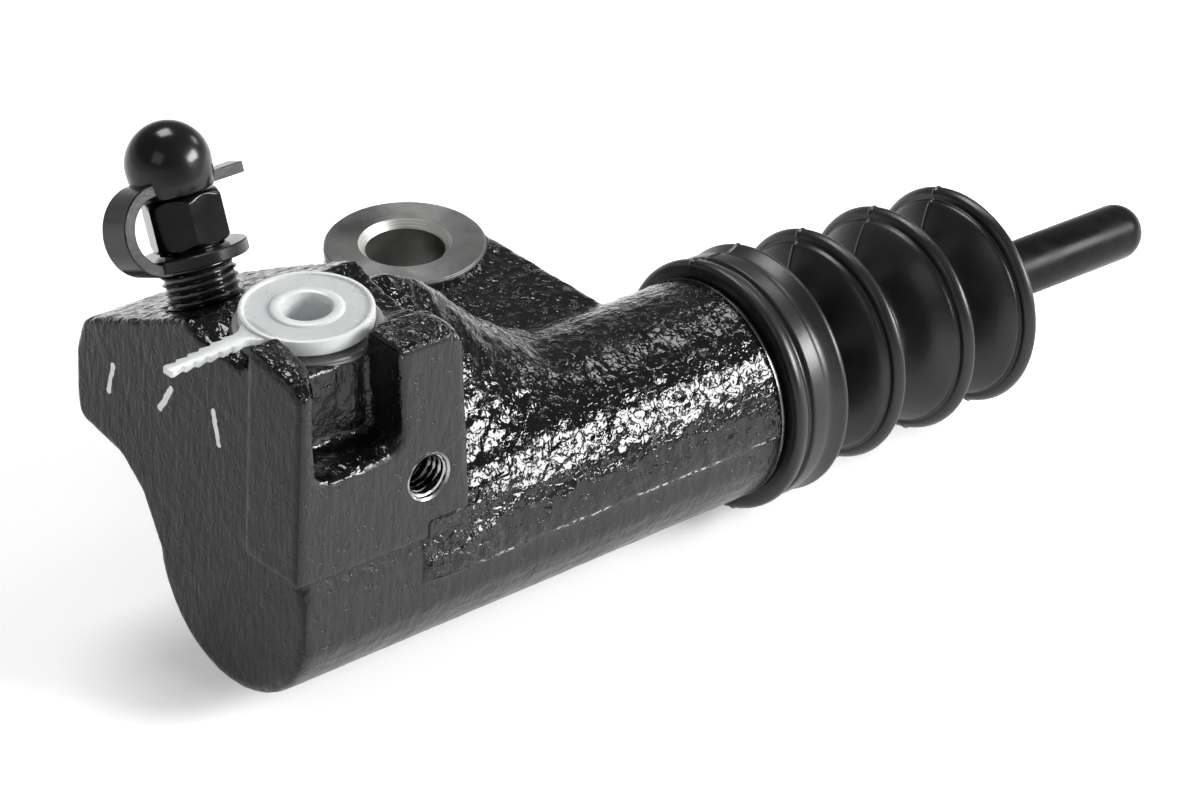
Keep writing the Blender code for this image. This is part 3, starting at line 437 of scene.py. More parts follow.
def make(name, bm, mat, body, replaced=()):
    """A finished piece from a bmesh, smooth but for its real edges."""
    bmesh.ops.recalc_face_normals(bm, faces=bm.faces)
    mesh = bpy.data.meshes.new(name)
    bm.to_mesh(mesh)
    bm.free()
    mesh.shade_smooth()
    mesh.set_sharp_from_angle(angle=math.radians(38))
    return ready(bpy.data.objects.new(name, mesh), mat, body, replaced)


def even_angles(steps):
    return [math.tau * i / steps for i in range(steps)]


def turned(profile, angles=None, shape=None, ring=False):
    """Turn (height, radius) points about Z. shape(height, radius, angle) gives a point's own radius."""
    angles = angles or even_angles(96)
    bm = bmesh.new()
    rows = []
    for height, radius in profile:
        if radius < 1e-7:
            rows.append([bm.verts.new((0, 0, height))])
            continue
        row = []
        for a in angles:
            r = shape(height, radius, a) if shape else radius
            row.append(bm.verts.new((r * math.cos(a), r * math.sin(a), height)))
        rows.append(row)
    pairs = list(zip(rows, rows[1:])) + ([(rows[-1], rows[0])] if ring else [])
    for low, high in pairs:
        for i in range(len(angles)):
            j = (i + 1) % len(angles)
            corners = [low[i % len(low)], low[j % len(low)], high[j % len(high)], high[i % len(high)]]
            corners = list(dict.fromkeys(corners))
            if len(corners) > 2:
                bm.faces.new(corners)
    return bm


def arc(centre, radius, start, end, steps):
    cx, cy = centre
    angles = [math.radians(start + (end - start) * i / steps) for i in range(steps + 1)]
    return [(cx + radius * math.cos(a), cy + radius * math.sin(a)) for a in angles]


def smooth_line(points, per_span):
    """Smooth curve that passes through every point."""
    fine = []
    padded = [points[0], *points, points[-1]]
    for p0, p1, p2, p3 in zip(padded, padded[1:], padded[2:], padded[3:]):
        for k in range(per_span):
            t = k / per_span
            fine.append(tuple(0.5 * (2 * b + (c - a) * t + (2 * a - 5 * b + 4 * c - d) * t * t +
                                     (3 * b - a - 3 * c + d) * t ** 3) for a, b, c, d in zip(p0, p1, p2, p3)))
    return fine + [tuple(points[-1])]


def plate(outline, low, high, bevel, segments=2):
    """Flat outline extruded along Z, with rounded edges."""
    bm = bmesh.new()
    face = bm.faces.new([bm.verts.new((x, y, low)) for x, y in outline])
    grown = bmesh.ops.extrude_face_region(bm, geom=[face])["geom"]
    top = [v for v in grown if isinstance(v, bmesh.types.BMVert)]
    bmesh.ops.translate(bm, vec=(0, 0, high - low), verts=top)
    bmesh.ops.recalc_face_normals(bm, faces=bm.faces)
    sharp = [e for e in bm.edges if e.calc_face_angle(0) > math.radians(40)]
    bmesh.ops.bevel(bm, geom=sharp, offset=bevel, segments=segments, profile=0.5, affect="EDGES",
                    clamp_overlap=True)
    return bm


def placed(bm, matrix):
    bmesh.ops.transform(bm, matrix=matrix, verts=bm.verts)
    return bm


def joined(*parts):
    """Several closed shapes as one mesh."""
    total = bmesh.new()
    for part in parts:
        mesh = bpy.data.meshes.new("part")
        part.to_mesh(mesh)
        part.free()
        total.from_mesh(mesh)
        bpy.data.meshes.remove(mesh)
    return total


def seat_frame(centre):
    return Matrix.Translation(centre) @ Matrix.Rotation(SEAT_TILT, 4, "Y")


def bleed_frame():
    return Matrix.Translation(BLEED) @ Matrix.Rotation(-FACET_TILT, 4, "X")


ALONG_X = Matrix.Rotation(math.pi / 2, 4, "Y")
ALONG_Y = Matrix.Rotation(math.pi / 2, 4, "X")       # a turned piece's top then faces -Y


def seat_distance(points, centre):
    """Radius from a seat's axis and height over its face, for each point."""
    local = (points - np.array(centre)) @ np.array(Matrix.Rotation(SEAT_TILT, 3, "Y"))
    return np.hypot(local[:, 0], local[:, 1]), local[:, 2]


def calmness(points, normals):
    """How flat the mould left each point: up to 0.9 on the end face and the bracket, 0 on rough skin."""
    x, y, z = points.T
    end_face = np.clip((0.6 * MM - x) / (0.6 * MM), 0, 1) * (normals[:, 0] < -0.7) * 0.8
    bracket = (x < FORK_RIGHT) & (z > 7 * MM) & (y < -4 * MM)
    front = (normals[:, 1] < -0.8) * bracket * (y < FORK_FRONT + 0.8 * MM) * 0.9
    side = (normals[:, 0] < -0.7) * bracket * (x < 0) * 0.8
    lower_half = np.clip((PARTING_Z + 0.4 * MM - z) / (0.8 * MM), 0, 1) * 0.7
    foot = (x < STEP_X) * (z < 8 * MM) * 0.8
    slot = (x > SLOT_X[0]) * (x < SLOT_X[1]) * (z > SLOT_FLOOR + 1 * MM) * (y < -6 * MM) * 0.5
    return np.maximum.reduce([end_face, front, side, lower_half, foot, slot])


def coarseness(points, normals):
    """How torn the sand was: 1 on the prongs' tops, up to 1.5 in the rough scab behind the bracket's foot."""
    x, y, z = points.T
    tops = (x < FORK_RIGHT) & (y < -4 * MM) & (z > PRONG_TOPS) & (normals[:, 2] > 0.45)
    scab = np.clip((STEP_X + 16 * MM - x) / (10 * MM), 0, 1) * (x > STEP_X) * (y < -9 * MM) * \
        (z > PARTING_Z) * (z < 9 * MM) * 1.5
    return np.maximum(tops, scab)


def machined(points):
    """1 near the machined seats, bores and spigot: flat there, and drawn back under the turned rings."""
    near = (points[:, 0] > BARREL_LEN - 0.5 * MM) | (np.hypot(points[:, 1], points[:, 2]) < 12 * MM) & \
        (points[:, 0] > 3 * MM)
    for centre, radius, low in ((LUG, LUG_R, -LUG_THICK), (PORT, PORT_FACE_R, -3 * MM)):
        r, h = seat_distance(points, centre)
        near |= (r < radius + 0.2 * MM) & (h > -0.5 * MM) | (r < 6.4 * MM) & (h > low)
    return near * 1.0


def cast_skin():
    """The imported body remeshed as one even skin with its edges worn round."""
    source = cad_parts["cylinder_body"].data.copy()
    bm = bmesh.new()
    bm.from_mesh(source)
    bmesh.ops.remove_doubles(bm, verts=bm.verts, dist=0.002 * MM)
    bm.to_mesh(source)
    bm.free()
    source.materials.clear()
    holder = bpy.data.objects.new("casting_source", source)
    bpy.context.scene.collection.objects.link(holder)
    remesh = holder.modifiers.new("skin", "REMESH")
    remesh.mode, remesh.voxel_size, remesh.adaptivity = "VOXEL", SKIN_STEP, 0
    wear = holder.modifiers.new("wear", "SMOOTH")
    wear.factor, wear.iterations = 0.5, 3
    graph = bpy.context.evaluated_depsgraph_get()
    mesh = bpy.data.meshes.new_from_object(holder.evaluated_get(graph))
    bpy.data.objects.remove(holder, do_unlink=True)
    return mesh


def wear_bracket_edges(mesh):
    """Round off the upper front edges of the bracket, which tumbling wore more than the rest."""
    bm = bmesh.new()
    bm.from_mesh(mesh)
    bm.normal_update()
    edges = [v for v in bm.verts if v.co.x < FORK_RIGHT and v.co.z > 18 * MM and v.normal.z > 0.15 and
             v.co.y < FORK_FRONT + 2.0 * MM]
    for _ in range(18):
        bmesh.ops.smooth_vert(bm, verts=edges, factor=0.5, use_axis_x=True, use_axis_y=True, use_axis_z=True)
    bm.to_mesh(mesh)
    bm.free()


def sand_relief(point):
    """Height of the sand's grains and clumps, about -1 to 1."""
    return (0.8 * noise.noise(point / (3.4 * MM)) + noise.noise(point / (1.5 * MM)) +
            0.5 * noise.noise(point / (0.9 * MM)))


def casting(mat, shaded_end_mat):
    """The body's skin with raised sand grains, and a less shiny enamel copy as painted shade on the end face.
    """
    mesh = cast_skin()
    wear_bracket_edges(mesh)
    count = len(mesh.vertices)
    points, normals = np.empty(count * 3), np.empty(count * 3)
    mesh.vertices.foreach_get("co", points)
    mesh.vertex_normals.foreach_get("vector", normals)
    points, normals = points.reshape(-1, 3), normals.reshape(-1, 3)
    calm, coarse, bare = calmness(points, normals), coarseness(points, normals), machined(points)
    height = np.array([sand_relief(Vector(p)) for p in points])
    # The skin is drawn in a little, and more under the turned rings, so that it never covers them.
    drawn_in = 0.05 * MM + 0.12 * MM * bare
    lift = height * GRAIN_HEIGHT * (1 - 0.88 * calm + 0.9 * coarse) * (1 - bare) - drawn_in
    mesh.vertices.foreach_set("co", (points + normals * lift[:, None]).ravel())
    for name, values in (("calm", calm), ("coarse", coarse)):
        mesh.attributes.new(name, "FLOAT", "POINT").data.foreach_set("value", values.astype(np.float32))
    mesh.shade_smooth()
    ready(bpy.data.objects.new("casting", mesh), mat, "cylinder", ["cylinder_body"])
    # The end face takes the lower-sheen copy of the enamel, which paints shade on it.
    mesh.materials.append(shaded_end_mat)
    for face in mesh.polygons:
        if face.normal.x < -0.6 and face.center.x < 1 * MM:
            face.material_index = 1


def lug_seat():
    """Turned ring round the bolt hole."""
    edge, inner, lift = LUG_R - 0.15 * MM, LUG_HOLE_R + LUG_CHAMFER, LUG_LIFT
    bm = turned([(-1.0 * MM, edge), (lift - 0.25 * MM, edge), (lift, edge - 0.25 * MM), (lift, inner),
                 (-1.0 * MM, inner)], ring=True)
    faced = turned_iron("turned_lug", LUG)
    make("lug_seat", placed(bm, seat_frame(LUG)), faced, "cylinder")


def lug_hole():
    """Bright chamfer at the top of the lug's hole, the dull drilled wall, and the facing under it."""
    hole, wide, low = LUG_HOLE_R, LUG_HOLE_R + LUG_CHAMFER, -LUG_THICK
    edge, neck, lift = LUG_R - 0.5 * MM, -LUG_CHAMFER - 0.1 * MM, LUG_LIFT
    cone = turned([(lift, wide), (lift - 0.06 * MM, wide - 0.04 * MM), (-LUG_CHAMFER, hole + 0.04 * MM),
                   (neck, hole), (neck, wide), (-0.4 * MM, wide + 0.1 * MM)], ring=True)
    bright = turned_iron("turned_chamfer", LUG, "#cfcfcd", "#a6a6a4")
    make("lug_chamfer", placed(cone, seat_frame(LUG)), bright, "cylinder")
    wall = turned([(neck, hole), (low + 0.6 * MM, hole), (low - lift, hole + 0.6 * MM), (low - lift, edge),
                   (low + 0.8 * MM, edge), (low + 0.8 * MM, hole + 1.2 * MM), (neck, wide + 0.3 * MM)],
                  ring=True)
    dull = turned_iron("drilled_iron", LUG, "#7c7c7a", "#4c4c4b")
    make("lug_bore", placed(wall, seat_frame(LUG)), dull, "cylinder")


def port_seat():
    """Faced ring under the plug, with the port's chamfer."""
    edge, hole, low, lift = PORT_FACE_R - 0.1 * MM, 5.5 * MM, -1.6 * MM, 0.02 * MM
    bm = turned([(low, edge), (-0.3 * MM, edge), (lift, edge - 0.3 * MM), (lift, hole + 0.5 * MM),
                 (-0.5 * MM, hole), (low, hole)], ring=True)
    faced = turned_iron("turned_port", PORT, "#8e8e8c", "#6a6a69")
    make("port_seat", placed(bm, seat_frame(PORT)), faced, "cylinder")


def tapped_thread(mat):
    """Bright thread cut into the bracket, with a fine chamfer at its mouth."""
    depth, pitch, cut = TAPPED_DEPTH, 1.0 * MM, 0.42 * MM

    def ridge(height, radius, angle):
        phase = (height / pitch - angle / math.tau) % 1
        return radius - cut * (1 - abs(2 * phase - 1)) * (height < -0.5 * MM)

    step, back, outside = 0.1 * MM, -depth - 0.4 * MM, TAPPED_R + 0.5 * MM
    wall = [(-depth + step * i, TAPPED_R) for i in range(round(depth / step) - 3)]
    profile = [(-depth, 0)] + wall + [(-0.2 * MM, TAPPED_R), (0.05 * MM, TAPPED_R + 0.25 * MM),
                                      (-0.3 * MM, outside), (back, outside), (back, 0)]
    bm = placed(turned(profile, even_angles(60), ridge), Matrix.Translation(TAPPED) @ ALONG_Y)
    make("tapped_thread", bm, mat, "cylinder")


def barrel_lip(mat):
    """Thin bright chamfer where the barrel's turned end meets the boot."""
    r, start, end = BARREL_R, BARREL_LEN - 0.6 * MM, BARREL_LEN - 0.02 * MM
    bm = turned([(start, r - 0.5 * MM), (start, r - 0.05 * MM), (BARREL_LEN - 0.35 * MM, r - 0.02 * MM),
                 (BARREL_LEN - 0.12 * MM, r - 0.04 * MM), (end, r - 0.12 * MM), (end, SPIGOT_R),
                 (start, SPIGOT_R)], ring=True)
    make("barrel_lip", placed(bm, ALONG_X), mat, "cylinder")


def bleed_screw(head, thread):
    """Hexagon and nipple in one piece, and the cut thread under them."""
    major, minor = THREAD_R - 0.03 * MM, THREAD_R - 0.6 * MM
    low, top, step = -3 * MM, RING_U[0] - 0.3 * MM, 0.1 * MM

    def helix(height, radius, angle):
        phase = (height / PITCH - angle / math.tau) % 1
        rise = min(max((0.5 - abs(phase - 0.5)) * 2.6 - 0.5, 0), 1)
        fade = min(max((top - 0.2 * MM - height) / (0.5 * MM), 0), 1)
        return minor + (major - minor) * rise * fade

    rows = [(low + step * i, minor) for i in range(round((top - low) / step) + 1)]
    screw = turned([(low, 0)] + rows + [(top, 0)], even_angles(72), helix)
    neck_r, nipple_r = 3.6 * MM, 2.6 * MM
    neck = turned([(top - 1 * MM, 0), (top - 1 * MM, neck_r), (HEX_U[0] + 1 * MM, neck_r),
                   (HEX_U[0] + 1 * MM, 0)], even_angles(48))
    low, high = HEX_U
    corner, turn, chamfer = HEX_AF / math.sqrt(3), HEX_TURN, 0.75 * MM

    def hexagon(height, radius, angle):
        sector = (angle - turn) % math.radians(60) - math.radians(30)
        side = HEX_AF / 2 / math.cos(sector)
        near_end = min(height - low, high - height)
        cone = HEX_AF / 2 - 0.1 * MM + (corner - HEX_AF / 2 + 0.2 * MM) * min(near_end / chamfer, 1) ** 0.9
        return min(radius, side, cone)

    corners = [turn + math.radians(60) * i + math.radians(off) for i in range(6)
               for off in (-1.2, 0, 1.2, 8, 15, 22, 30, 38, 45, 52)]
    ends = [step * i for i in range(9)]
    levels = [low + e for e in ends] + [high - e for e in reversed(ends)]
    nut = turned([(low, 0)] + [(u, corner) for u in levels] + [(high, 0)],
                 sorted(a % math.tau for a in corners), hexagon)
    nipple = turned([(high - 0.5 * MM, 0), (high - 0.5 * MM, nipple_r), (CAP_BASE + 2 * MM, nipple_r),
                     (CAP_BASE + 2 * MM, 0)], even_angles(48))
    make("bleed_head", placed(joined(neck, nut, nipple), bleed_frame()), head, "bleeder",
         ["bleed_screw"])
    make("bleed_thread", placed(screw, bleed_frame()), thread, "bleeder")


def strap_shape():
    """Flat loop from the dome's lower edge out and back down to the ring."""
    low, high = RING_U[0] + 0.3 * MM, CAP_BASE + 1.5 * MM
    middle, tall, root = (low + high) / 2, (high - low) / 2, -5.2 * MM
    reach = STRAP_REACH - STRAP_THICK / 2 + root
    line = [(root + 1.0 * MM, high)]
    line += [(root + reach * x, middle + tall * z) for z, x in arc((0, 0), 1, 0, -180, 28)]
    bm = bmesh.new()
    rows = []
    for i, (x, z) in enumerate(line):
        before, after = line[max(i - 1, 0)], line[min(i + 1, len(line) - 1)]
        along = Vector((after[0] - before[0], after[1] - before[1])).normalized()
        out = Vector((-along.y, along.x)) * STRAP_THICK / 2
        rows.append([bm.verts.new((x + s * out.x, w * STRAP_WIDTH / 2, z + s * out.y))
                     for s, w in ((-1, -1), (1, -1), (1, 1), (-1, 1))])
    for a, b in zip(rows, rows[1:]):
        for i in range(4):
            bm.faces.new((a[i], a[(i + 1) % 4], b[(i + 1) % 4], b[i]))
    bm.faces.new(rows[0])
    bm.faces.new(rows[-1])
    bmesh.ops.recalc_face_normals(bm, faces=bm.faces)
    sharp = [e for e in bm.edges if e.calc_face_angle(0) > math.radians(60)]
    bmesh.ops.bevel(bm, geom=sharp, offset=0.15 * MM, segments=1, affect="EDGES")
    return bm


def bleed_cap(mat):
    """Dome, strap, ring and pull tab, moulded as one."""
    inner = 3.3 * MM
    hollow = [(CAP_BASE + 6.5 * MM, 0), (CAP_BASE + 6.5 * MM, inner - 0.9 * MM), (CAP_BASE + 5 * MM, inner),
              (CAP_BASE + 0.2 * MM, inner), (CAP_BASE, inner + 0.2 * MM)]
    skirt = [(CAP_BASE, CAP_R - 0.95 * MM), (CAP_BASE + 0.12 * MM, CAP_R - 0.6 * MM),
             (CAP_BASE + 0.45 * MM, CAP_R - 0.4 * MM), (CAP_BASE + 1.8 * MM, CAP_R - 0.14 * MM)]
    crown = [(CAP_SHOULDER + CAP_R * math.sin(a), CAP_R * math.cos(a))
             for a in np.radians(np.linspace(0, 90, 22))]
    dome = placed(turned(hollow + skirt + crown, even_angles(72)), Matrix.Translation((CAP_LEAN, 0, 0)))
    low, high = RING_U
    ring_in, ring_out, chamfer = 4.15 * MM, 6.9 * MM, 0.15 * MM
    edge = [(low, ring_out - chamfer), (low + chamfer, ring_out)]
    mirrored = [(low + high - u, r) for u, r in reversed(edge)]
    ring = turned([(low, ring_in)] + edge + mirrored + [(high, ring_in)], even_angles(72), ring=True)
    half = 1.6 * MM
    tab = plate([(CAP_R - 1.8 * MM, -half), (TAB_REACH, -half), (TAB_REACH, half), (CAP_R - 1.8 * MM, half)],
                CAP_BASE + 0.1 * MM, CAP_BASE + 1.5 * MM, 0.1 * MM, 1)
    bm = placed(joined(dome, strap_shape(), ring, tab), bleed_frame())
    make("bleed_cap_moulded", bm, mat, "cap", ["bleed_cap"])


def plug_disc():
    """Blank cap with a raised rim, a blind hole in the middle with a raised collar, and the shank."""
    rim, top, hole = PLUG_TOP + 0.27 * MM, PLUG_TOP, PLUG_HOLE_R
    shank = [(-9.0 * MM, 0), (-9.0 * MM, 4.6 * MM), (-8.0 * MM, 5.3 * MM), (0.3 * MM, 5.35 * MM)]
    edge = [(0.3 * MM, PLUG_R - 0.4 * MM), (0.45 * MM, PLUG_R - 0.1 * MM), (0.8 * MM, PLUG_R),
            (rim - 0.3 * MM, PLUG_R), (rim - 0.08 * MM, PLUG_R - 0.1 * MM), (rim, PLUG_R - 0.3 * MM),
            (rim, PLUG_R - 0.5 * MM), (rim - 0.1 * MM, PLUG_R - 0.65 * MM), (top, PLUG_R - 0.75 * MM)]
    collar = [(top, hole + 1.5 * MM), (rim - 0.1 * MM, hole + 1.3 * MM), (rim, hole + 1.1 * MM),
              (rim, hole + 0.3 * MM), (rim - 0.1 * MM, hole + 0.08 * MM), (rim - 0.35 * MM, hole)]
    return turned(shank + edge + collar + [(-7.6 * MM, hole - 0.2 * MM), (-7.8 * MM, 0)])


def plug_tail():
    """Tapered tail with barbs along both edges, and the forked root that joins it to the disc."""
    start, barbs = -(PLUG_R + 2.0 * MM), 6
    step = (TAIL_TIP + start) / barbs
    side = [(-(PLUG_R - 1.5 * MM), 3.4 * MM), (start + 0.9 * MM, 1.3 * MM)]
    for i in range(barbs):
        x, wide = start - step * i, (1.4 - 0.09 * i) * MM
        side += [(x, wide - 0.35 * MM), (x - step * 0.8, wide)]
    side.append((-TAIL_TIP, 0.75 * MM))
    outline = side + [(x, -y) for x, y in reversed(side)]
    return plate(outline, PLUG_TOP - TAIL_THICK, PLUG_TOP - 0.05 * MM, 0.1 * MM)


def port_plug(mat):
    """Disc and tail, moulded as one."""
    bm = placed(joined(plug_disc(), plug_tail()), seat_frame(PORT))
    make("port_plug_moulded", bm, mat, "plug", ["port_plug"])


def boot_sag(x):
    """How far the folds hang at this place, from nothing at the shoulder to the rod's own droop."""
    t = min(max((x - SHOULDER[0]) / (NECK_X[0] - SHOULDER[0]), 0), 1)
    return -math.tan(ROD_DROOP) * (NECK_X[0] - BALL_X) * t * t * (3 - 2 * t)


def cuff_line():
    """Skin of the cuff that grips the barrel: bead with a lip, two bands and the shoulder."""
    x, r = BEAD
    return smooth_line([
        (x - 0.85 * MM, r - 2.2 * MM), (x - 0.85 * MM, r - 0.8 * MM), (x - 0.55 * MM, r - 0.2 * MM), (x, r),
        (x + 0.7 * MM, r - 0.1 * MM), (x + 1.2 * MM, r - 0.45 * MM), (x + 1.6 * MM, r - 0.95 * MM),
        (x + 2.1 * MM, r - 0.95 * MM), (x + 2.4 * MM, r - 0.5 * MM), (x + 2.9 * MM, r - 0.42 * MM),
        (x + 4.4 * MM, r - 0.4 * MM), (x + 4.7 * MM, r - 0.5 * MM), (x + 4.9 * MM, r - 0.8 * MM),
        (x + 5.8 * MM, r - 0.88 * MM), (SHOULDER[0] - 0.9 * MM, SHOULDER[1] - 0.3 * MM),
        (SHOULDER[0] - 0.3 * MM, SHOULDER[1] - 0.04 * MM), (SHOULDER[0] + 0.2 * MM, SHOULDER[1] - 0.1 * MM),
        (SHOULDER[0] + 0.7 * MM, SHOULDER[1] - 0.6 * MM)], 4)


def fold_line(last, crest):
    """Skin from one crest down into the valley and up to the next crest."""
    x, r = crest
    valley, run = (last + x) / 2, (x - last) / 2
    deep = r - VALLEY_R
    return smooth_line([
        (valley - run * 0.55, VALLEY_R + 4.2 * MM), (valley - 0.9 * MM, VALLEY_R + 0.4 * MM),
        (valley, VALLEY_R), (valley + 0.9 * MM, VALLEY_R + 0.4 * MM),
        (valley + run * 0.45, VALLEY_R + deep * 0.5),
        (x - 2.1 * MM, VALLEY_R + deep * 0.76), (x - 1.35 * MM, r - 1.45 * MM), (x - 1.25 * MM, r - 0.8 * MM),
        (x - 0.9 * MM, r - 0.3 * MM), (x - 0.35 * MM, r - 0.02 * MM), (x + 0.1 * MM, r),
        (x + 0.55 * MM, r - 0.35 * MM), (x + 1.0 * MM, r - 1.3 * MM)], 5)


def boot_half(name, line, mat, replaced=()):
    """Part of the boot between two bodies that move apart: its skin, and the rubber's inside under it."""
    ridge, ridge_width = 0.18 * MM, 0.7          # height, and width in degrees
    beside = [0, 0.35, 0.8, 1.5, 2.6]            # degrees either side of the line, for facets that follow it
    extra = [MOULD_LINE + math.radians(side + s * f) for side in (0, 180) for f in beside for s in (-1, 1)]
    angles = sorted({round(a % math.tau, 6) for a in even_angles(96) + extra})

    def mould_line(height, radius, angle):
        off = math.degrees(angle - MOULD_LINE) % 180
        return radius + ridge * math.exp(-(min(off, 180 - off) / ridge_width) ** 2)

    inner = [(h, max(r - RUBBER, ROD_R + 0.25 * MM)) for h, r in reversed(line)]
    bm = placed(turned(line + inner, angles, mould_line, ring=True), ALONG_X)
    for vert in bm.verts:
        vert.co.z += boot_sag(vert.co.x)
    obj = make(name, bm, mat, None, replaced)
    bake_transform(obj)


def dust_boot(mat):
    """The boot in two pieces that meet in the last valley, on the piston's end of the folds."""
    skin, last = cuff_line(), SHOULDER[0]
    for crest in CRESTS[:2]:
        skin += fold_line(last, crest)
        last = crest[0]
    final = fold_line(last, CRESTS[2])
    split = len(final) // 5
    neck_r, (x, r) = ROD_R + 2.1 * MM, CRESTS[2]
    tail = final[split:] + smooth_line([
        (x + 1.6 * MM, r - 3.6 * MM), (NECK_X[0] - 1.2 * MM, neck_r + 1.4 * MM),
        (NECK_X[0] - 0.2 * MM, neck_r + 0.1 * MM), (NECK_X[1] + 0.2 * MM, neck_r),
        (NECK_X[1] + 0.65 * MM, neck_r - 0.35 * MM), (NECK_X[1] + 0.7 * MM, ROD_R + 0.6 * MM)], 4)
    front = skin + final[:split + 1]
    boot_half("dust_boot_front", front, mat, ["dust_boot"])
    boot_half("dust_boot_rear", tail, mat)


def push_rod(mat):
    """Ball, neck and shank with a round tip, hanging by its droop."""
    tip = ROD_TIP - BALL_X
    end = [(tip - ROD_R * (1 - math.sin(a)), ROD_R * math.cos(a)) for a in np.radians(np.linspace(0, 90, 16))]
    ball = [(BALL_R * -math.cos(a), BALL_R * math.sin(a)) for a in np.radians(np.linspace(0, 136, 18))]
    bm = turned(ball + [(6.0 * MM, 3.0 * MM), (7.6 * MM, ROD_R)] + end, even_angles(64))
    bm = placed(bm, Matrix.Translation((BALL_X, 0, 0)) @ Matrix.Rotation(ROD_DROOP, 4, "Y") @ ALONG_X)
    make("push_rod_turned", bm, mat, "rod", ["push_rod"])


def wound_spring(mat):
    """Compression spring with its end coils laid close, drawn at rest; the real one shortens as the piston
    comes in.
    """
    start, end = SPRING_X[0] + WIRE_R, SPRING_X[1] - WIRE_R
    dead = 2 * WIRE_R + 0.3 * MM                 # advance of a closed end coil
    per_turn, round_wire = 40, 12                # facets
    bm = bmesh.new()
    rows = []
    for i in range(COILS * per_turn + 1):
        turn = i / per_turn
        along = dead * (min(turn, 1) + max(turn - COILS + 1, 0))
        along += (end - start - 2 * dead) * min(max((turn - 1) / (COILS - 2), 0), 1)
        row = []
        for b in even_angles(round_wire):
            radius = COIL_R + WIRE_R * math.cos(b)
            row.append(bm.verts.new((start + along + WIRE_R * math.sin(b), radius * math.cos(math.tau * turn),
                                     radius * math.sin(math.tau * turn))))
        rows.append(row)
    for a, b in zip(rows, rows[1:]):
        for i in range(round_wire):
            j = (i + 1) % round_wire
            bm.faces.new((a[i], a[j], b[j], b[i]))
    bm.faces.new(rows[0])
    bm.faces.new(rows[-1])
    obj = make("wound_spring", bm, mat, "cylinder", ["return_spring"])
    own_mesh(obj)


def dress_hidden():
    """The other hidden working parts keep their solids, with proper finishes."""
    rubber = moulded_rubber("seal_rubber", "#161616", 0.45)
    wire, alloy = spring_wire(), turned_aluminium()
    wound_spring(wire)
    for node, mat in {"piston": alloy, "pressure_cup": rubber, "rear_cup": rubber, "spring_seat": wire,
                      "stop_ring": wire}.items():
        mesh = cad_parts[node].data
        mesh.materials.clear()
        mesh.materials.append(mat)


def softbox(name, direction, distance, size, power, target=Vector((0.06, 0, 0.0))):
    lamp = bpy.data.lights.new(name, "AREA")
    lamp.shape = "RECTANGLE"
    lamp.size, lamp.size_y = size
    lamp.energy = power
    obj = bpy.data.objects.new(name, lamp)
    bpy.context.scene.collection.objects.link(obj)
    obj.location = target + Vector(direction).normalized() * distance
    obj.rotation_euler = (target - obj.location).to_track_quat("-Z", "Y").to_euler()
    obj.visible_camera = False


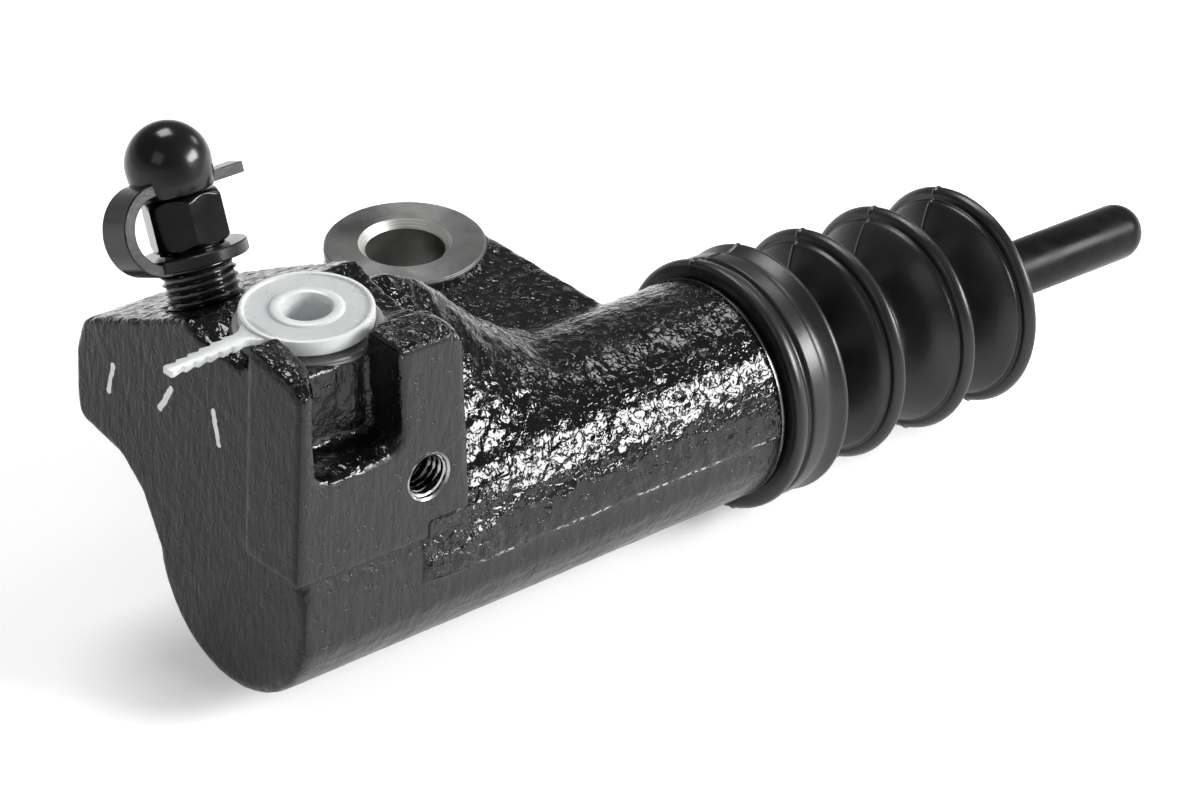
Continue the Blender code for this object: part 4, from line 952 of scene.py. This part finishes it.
def studio():
    """White sweep, a dim ceiling above it and four softboxes."""
    world = bpy.data.worlds.new("studio")
    bpy.context.scene.world = world
    world.use_nodes = True
    ground = world.node_tree.nodes["Background"]
    ground.inputs["Color"].default_value = srgb("#ffffff")
    up = add(world, "SeparateXYZ", (add(world, "TexCoord", output="Generated"),), "Z")
    link(world, add(world, "MapRange", (up, -0.05, 0.3, 1.0, 0.22)), ground, "Strength")

    mat, shader = finish("white_sweep", "#f4f4f4", 0.9)
    seen = 0.0
    for ray in ("Is Camera Ray", "Is Glossy Ray", "Is Transmission Ray"):
        seen = add(mat, "Math", (seen, add(mat, "LightPath", output=ray)), operation="MAXIMUM")
    shader.inputs["Emission Color"].default_value = srgb("#ffffff")
    link(mat, add(mat, "Math", (seen, 0.3), operation="MULTIPLY"), shader, "Emission Strength")
    floor_mesh = bpy.data.meshes.new("floor")
    bm = bmesh.new()
    half = 3.0                                   # metres, far past the picture's edges
    corners = (-half, -half), (half, -half), (half, half), (-half, half)
    bm.faces.new([bm.verts.new((x, y, 0)) for x, y in corners])
    bm.to_mesh(floor_mesh)
    bm.free()
    floor = bpy.data.objects.new("floor", floor_mesh)
    floor.location.z = cad_box[0][2] - 1 * MM
    floor_mesh.materials.append(mat)
    bpy.context.scene.collection.objects.link(floor)

    softbox("key", (0.59, -0.69, 0.45), 1.4, (0.8, 0.43), 30)
    softbox("boot", (0.618, 0.177, 0.766), 0.15, (0.045, 0.035), 0.035, Vector((0.078, -0.0055, 0.0145)))
    softbox("fill", (-0.9, -0.25, 0.7), 0.9, (0.4, 0.4), 0.6)
    softbox("top", (0.1, 0.5, 1.0), 0.8, (0.3, 0.3), 3.4)


def camera():
    """The photograph's viewpoint: long lens, from the closed end and above."""
    back = Vector((math.sin(EYE_TURN) * math.cos(EYE_TILT), -math.cos(EYE_TURN) * math.cos(EYE_TILT),
                   math.sin(EYE_TILT)))
    level = Vector((math.cos(EYE_TURN), math.sin(EYE_TURN), 0))
    right = math.cos(EYE_ROLL) * level + math.sin(EYE_ROLL) * back.cross(level)
    data = bpy.data.cameras.new("camera")
    data.lens, data.sensor_width = LENS, FILM
    data.clip_start, data.clip_end = 0.05, 20
    obj = bpy.data.objects.new("camera", data)
    bpy.context.scene.collection.objects.link(obj)
    axes = Matrix((right, back.cross(right), back)).transposed()
    obj.matrix_world = Matrix.Translation(EYE) @ axes.to_4x4()
    bpy.context.scene.camera = obj


def main():
    bpy.context.scene.view_settings.view_transform = "Standard"
    # The end face's copy of the enamel has less sheen: painted shade on that face.
    casting(enamelled_iron("enamelled_iron", 0.42), enamelled_iron("enamelled_iron_shaded_end", 0.24))
    lug_seat()
    lug_hole()
    port_seat()
    tapped_thread(cut_iron("cut_thread", "#a9a9a8"))
    barrel_lip(cut_iron("cut_edge", "#7c7c7b"))
    bleed_screw(blackened_steel("blackened_head", "#0a0a0b", (0.11, 0.18), 0.25),
                blackened_steel("blackened_thread", "#101011", (0.16, 0.26), 0.6))
    bleed_cap(moulded_rubber("cap_rubber", "#0e0e0f", 0.19, 0.36))
    port_plug(milky_polythene())
    dust_boot(moulded_rubber("boot_rubber", "#121213", 0.32))
    push_rod(blackened_steel("blackened_rod", "#0e0e0f", (0.26, 0.4), 0.13))
    dress_hidden()
    studio()
    camera()


main()
